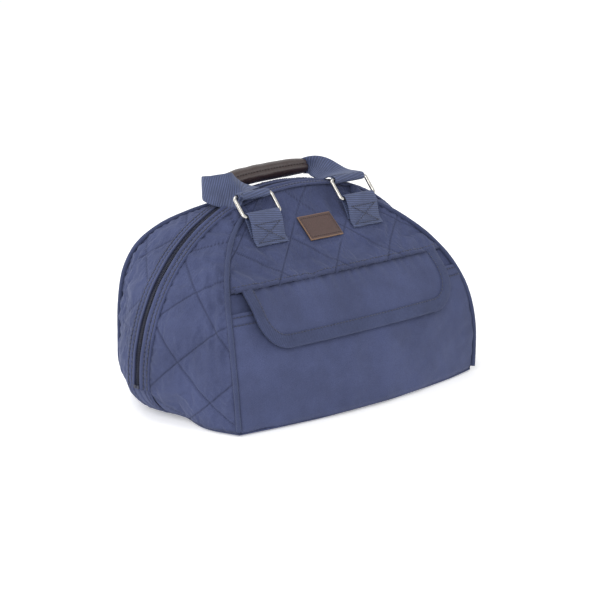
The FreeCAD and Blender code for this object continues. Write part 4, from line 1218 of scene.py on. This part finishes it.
class BAG_OT_handles(bpy.types.Operator):
    """Make both handles: webbing straps looped round the rings, sewn into padded leather grips"""
    bl_idname = "bag.handles"
    bl_label = "Handles"

    def loop(self, half, name, sign, top, body):
        ring = arc_path(top, 3.05, 0, 352, 60) + np.array([sign * TAB_CENTRE, 0, 0])
        piece = ribbon(f"{half}_handle_loop_{name}", ring, np.tile([1.0, 0, 0], (60, 1)),
                       np.full(60, 39.2), 1.7)
        finish_piece(piece, body, "webbing", None, [f"{half}_strap_loop_{name}"])

    def strap(self, half, name, stations, body):
        line = smooth_path([[*middle, *way, width, fold] for middle, way, width, fold in stations], 90)
        piece = ribbon(f"{half}_handle_strap_{name}", line[:, :3], line[:, 3:6], line[:, 6], 2.1, 0.25,
                       line[:, 7])
        finish_piece(piece, body, "webbing", None, [f"{half}_strap_{name}"])

    def grip(self, half, path, seam_angle, body, radius):
        path = smooth_path(path, 90)
        along = unit(np.gradient(path, axis=0))
        sides = unit(np.cross(along, [0.0, 0.0, 1.0]))
        overs = unit(np.cross(sides, along))
        share = np.linspace(-1, 1, 90)
        size = radius * (1 - 0.16 * np.abs(share) ** 5 - 0.25 * smooth_step(np.abs(share), 0.985, 1.0))
        turns = np.linspace(0, 2 * math.pi, 48, endpoint=False)
        gap = np.abs((turns - seam_angle + math.pi) % (2 * math.pi) - math.pi)
        reach = arc_coordinates(path[None], 1)[0]
        shape = 1 - 0.13 * np.exp(-(gap / 0.20) ** 2) + 0.03 * np.exp(-((gap - 0.55) / 0.3) ** 2)
        uneven = 1 + 0.018 * ripples(reach[:, None], turns[None] * 9, 27, 24)
        pucker = 0.012 * np.sin(reach[:, None] * 2 * math.pi / 5.5) * np.exp(-(gap[None] / 0.35) ** 2)
        r = size[:, None] * (shape[None] * uneven + pucker)
        section = np.stack([np.cos(turns) * r, np.sin(turns) * r * 0.96], -1)
        rings = swept(path, sides, overs, section)
        piece = tube_piece(f"{half}_leather_grip", rings)
        finish_piece(piece, body, "brown_leather", None, [f"{half}_grip"])
        k = int(round(seam_angle / (2 * math.pi) * 48)) % 48
        line = rings[4:-4, k]
        stitches(f"{half}_grip_stitch", line, line - path[4:-4], body, "brown_leather", 4.2,
                 "leather_thread", 0.25, 1.1)

    def execute(self, context):
        radius = context.scene.bag_sizes.grip_radius / MM
        top = bar_top(FRONT_BAR, FRONT_LEAN)
        left = [
            ((-63.4, top[0] + 2.2, top[1] + 2.6), (1, 0, 0), 39, 0),
            ((-65, top[0] + 6.0, top[1] + 2.6), (1, -0.05, 0.05), 39, 0),
            ((-69, -11, 197.2), (0.97, -0.14, 0.18), 38, 0),
            ((-77, -6, 197.4), (0.83, -0.32, 0.48), 35, 0.5),
            ((-86, 0, 198.6), (0.45, -0.25, 0.86), 30, 0.5),
            ((-92, 6, 199.4), (0.10, -0.10, 0.99), 26, 0),
            ((-94, 12, 200.2), (0, 0, 1), 22, 0),
            ((-89, 17.5, 200.6), (0, 0, 1), 19, 0),
            ((-79, 18, 201.0), (0, 0, 1), 16, 0),
            ((-66, 16, 201.0), (0, 0, 1), 13, 0)]
        right = [
            ((63.4, top[0] + 2.2, top[1] + 2.6), (1, 0, 0), 39, 0),
            ((63.6, top[0] + 6.5, top[1] + 2.4), (1, 0, 0.02), 38.5, 0),
            ((62.5, -6, 197.2), (0.99, 0, 0.05), 36, 1.0),
            ((59.5, 3, 198.6), (0.94, 0, 0.32), 31, 2.5),
            ((55, 13, 201.6), (0.70, 0, 0.70), 24, 3.5),
            ((52, 21, 202.6), (0.25, 0, 0.97), 18, 3.0),
            ((48.5, 28, 201.3), (0, 0, 1), 15, 2.0)]
        for name, sign, stations in (("left", -1, left), ("right", 1, right)):
            self.loop("front", name, sign, top, "front_handle")
            self.strap("front", name, stations, "front_handle")
        path = [(-67, 15.5, 201), (-40, 20, 202.4), (-8, 24, 202.6), (24, 26.5, 202.4), (50, 28, 201.5)]
        self.grip("front", path, math.radians(28), "front_handle", radius)

        top = bar_top(BACK_BAR, BACK_LEAN)
        left = [
            ((-TAB_CENTRE, top[0] + 2.5, top[1] - 2.5), (1, 0, 0), 39, 0),
            ((-TAB_CENTRE + 1, top[0] + 5, top[1] - 22), (1, 0, 0.05), 38, 0),
            ((-TAB_CENTRE + 3, top[0] + 6.5, top[1] - 38), (0.97, 0, 0.22), 32, 1.5),
            ((-TAB_CENTRE + 7, top[0] + 7.5, top[1] - 51), (0.85, 0, 0.5), 22, 2.5),
            ((-TAB_CENTRE + 13, top[0] + 8.5, top[1] - 61), (0.7, 0, 0.7), 14, 1.0)]
        right = [((-x, y, z), (dx, dy, -dz), width, fold) for (x, y, z), (dx, dy, dz), width, fold in left]
        for name, sign, stations in (("left", -1, left), ("right", 1, right)):
            self.loop("back", name, sign, top, "back_handle")
            self.strap("back", name, stations, "back_handle")
        x = np.linspace(-52, 52, 7)
        path = np.stack([x, np.full(7, top[0] + 9), top[1] - 62 - 9 * (1 - (x / 52) ** 2)], -1)
        self.grip("back", path, math.radians(180), "back_handle", radius)
        return {"FINISHED"}


class BAG_OT_label(bpy.types.Operator):
    """Sew on the plain leather label, with a stitched border and no mark"""
    bl_idname = "bag.label"
    bl_label = "Label"

    def execute(self, context):
        u, v = grid(38, 86)
        x, z = LABEL_MIDDLE + u * LABEL_HALF_WIDTH, LABEL_FOOT + v * LABEL_HEIGHT
        base = front_surface(x, z)
        normals = surface_normals(base)
        gap = np.minimum(LABEL_HALF_WIDTH * (1 - np.abs(u)), LABEL_HEIGHT * np.minimum(v, 1 - v))
        height = 3.3 + 0.35 * smooth_step(gap, 2.6, 4.5) - 0.35 * np.exp(-((gap - 2.0) / 0.5) ** 2)
        height += -0.3 * (1 - smooth_step(gap, 0, 0.8)) + ripples(x, z, 33, 22) * 0.12
        final = base + normals * height[..., None]
        piece = sheet_piece("leather_label", final, 1.5, None, None, normals)
        finish_piece(piece, "front_shell", "brown_leather", "patch_leather", ["label_patch"])
        piece.data.materials.append(MATERIALS["patch_edge"])
        rows, columns = u.shape
        quads = (rows - 1) * (columns - 1)
        index = np.zeros(len(piece.data.polygons), np.int32)
        index[2 * quads:] = 1
        rim = np.zeros((rows - 1, columns - 1), np.int32)
        rim[:1], rim[-1:], rim[:, :1], rim[:, -1:] = 1, 1, 1, 1
        index[:quads] = rim.ravel()
        piece.data.polygons.foreach_set("material_index", index)
        low, high, edge = 4, rows - 5, 4
        border = np.concatenate([
            final[low, edge:-edge], final[low:high, -edge - 1], final[high, -edge - 1:edge:-1],
            final[high:low:-1, edge]])
        facing = np.tile(normals[rows // 2, columns // 2], (len(border), 1))
        stitches("label_stitch", border, facing, "front_shell", "brown_leather", 2.6, "leather_thread",
                 0.1, 0.7)
        return {"FINISHED"}


class BAG_OT_hardware(bpy.types.Operator):
    """Finish the rings, slider, pull, stops and base board"""
    bl_idname = "bag.hardware"
    bl_label = "Rings and slider"

    def execute(self, context):
        finishes = {"zip_slider": "zip_metal", "zip_pull": "zip_metal", "front_zip_stops": "zip_coil",
                    "back_zip_stops": "zip_coil", "base_board": "stiffener_board"}
        for half in ("front", "back"):
            for side in ("left", "right"):
                finishes[f"{half}_ring_{side}"] = "ring_metal"
        for name, finish in finishes.items():
            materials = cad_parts[name].data.materials
            materials.clear()
            materials.append(MATERIALS[finish])
        return {"FINISHED"}


class BAG_OT_stage(bpy.types.Operator):
    """Set the pale floor, the soft lights and the camera"""
    bl_idname = "bag.stage"
    bl_label = "Stage"

    def execute(self, context):
        bpy.ops.object.select_all(action="DESELECT")
        bpy.ops.mesh.primitive_plane_add(size=8, location=(0, 0, -0.0012))
        floor = context.object
        floor.name = "studio_floor"
        bpy.ops.object.mode_set(mode="EDIT")
        bpy.ops.mesh.subdivide(number_cuts=3)
        bpy.ops.object.mode_set(mode="OBJECT")
        paper, tree, shader = new_material("white_paper_sweep", roughness=0.9, specular_ior_level=0.1,
                                           emission_color=(1, 1, 1, 1), emission_strength=0.34)
        place = node(tree, "ShaderNodeTexCoord").outputs["Object"]
        tooth = node(tree, "ShaderNodeTexNoise", {"Scale": 60.0, "Detail": 3.0}, {0: place}).outputs["Fac"]
        base = node(tree, "ShaderNodeMix", {"data_type": "RGBA", 6: (0.90, 0.90, 0.90, 1),
                                            7: (0.93, 0.93, 0.93, 1)}, {0: tooth}).outputs[2]
        tree.links.new(base, shader.inputs["Base Color"])
        floor.data.materials.append(paper)

        lights = (
            ("key_softbox", (-1.6, -1.2, 1.3), 1.1, 22.0),
            ("fill_softbox", (1.9, -1.5, 0.9), 1.6, 6.0),
            ("top_softbox", (-0.5, 0.9, 2.2), 1.3, 15.0),
            ("back_softbox", (-1.6, 1.4, 1.2), 1.4, 8.0))
        for name, place, size, power in lights:
            lamp = bpy.data.lights.new(name, "AREA")
            lamp.shape = "SQUARE"
            lamp.size = size
            lamp.energy = power
            lamp_object = bpy.data.objects.new(name, lamp)
            lamp_object.location = place
            aim = Vector((0, 0, 0.08)) - Vector(place)
            lamp_object.rotation_euler = aim.to_track_quat("-Z", "Y").to_euler()
            context.scene.collection.objects.link(lamp_object)

        world = bpy.data.worlds.new("studio_white")
        world.use_nodes = True
        background = world.node_tree.nodes["Background"]
        background.inputs[0].default_value = (1, 1, 1, 1)
        background.inputs[1].default_value = 0.72
        context.scene.world = world
        context.scene.view_settings.view_transform = "Standard"

        camera = bpy.data.cameras.new("studio_camera")
        camera.lens = 123.0
        camera.sensor_width = 36.0
        camera.clip_end = 20.0
        camera_object = bpy.data.objects.new("studio_camera", camera)
        camera_object.location = (-1.3114, -1.3774, 0.5497)
        aim = Vector((0.0146, 0.0, 0.0802)) - camera_object.location
        camera_object.rotation_euler = aim.to_track_quat("-Z", "Y").to_euler()
        context.scene.collection.objects.link(camera_object)
        context.scene.camera = camera_object
        return {"FINISHED"}


class BAG_PT_panel(bpy.types.Panel):
    bl_label = "Quilted dome bag"
    bl_space_type = "VIEW_3D"
    bl_region_type = "UI"
    bl_category = "Bag"

    def draw(self, context):
        for group in (context.scene.bag_sizes, context.scene.bag_colours):
            box = self.layout.box()
            for key in group.bl_rna.properties.keys():
                if key not in ("rna_type", "name"):
                    box.prop(group, key)
        for operator in OPERATORS:
            self.layout.operator(operator.bl_idname)


OPERATORS = (
    BAG_OT_front_panel, BAG_OT_pocket, BAG_OT_flap, BAG_OT_gussets, BAG_OT_back, BAG_OT_piping, BAG_OT_zip,
    BAG_OT_tabs, BAG_OT_handles, BAG_OT_label, BAG_OT_hardware, BAG_OT_stage)
CLASSES = (BagSizes, BagColours, *OPERATORS, BAG_PT_panel)


def register():
    for item in CLASSES:
        bpy.utils.register_class(item)
    bpy.types.Scene.bag_sizes = bpy.props.PointerProperty(type=BagSizes)
    bpy.types.Scene.bag_colours = bpy.props.PointerProperty(type=BagColours)


def unregister():
    del bpy.types.Scene.bag_colours
    del bpy.types.Scene.bag_sizes
    for item in reversed(CLASSES):
        bpy.utils.unregister_class(item)


def main():
    register()
    make_materials(bpy.context)
    for operator in OPERATORS:
        group, name = operator.bl_idname.split(".")
        getattr(getattr(bpy.ops, group), name)()


if __name__ == "__main__":
    main()
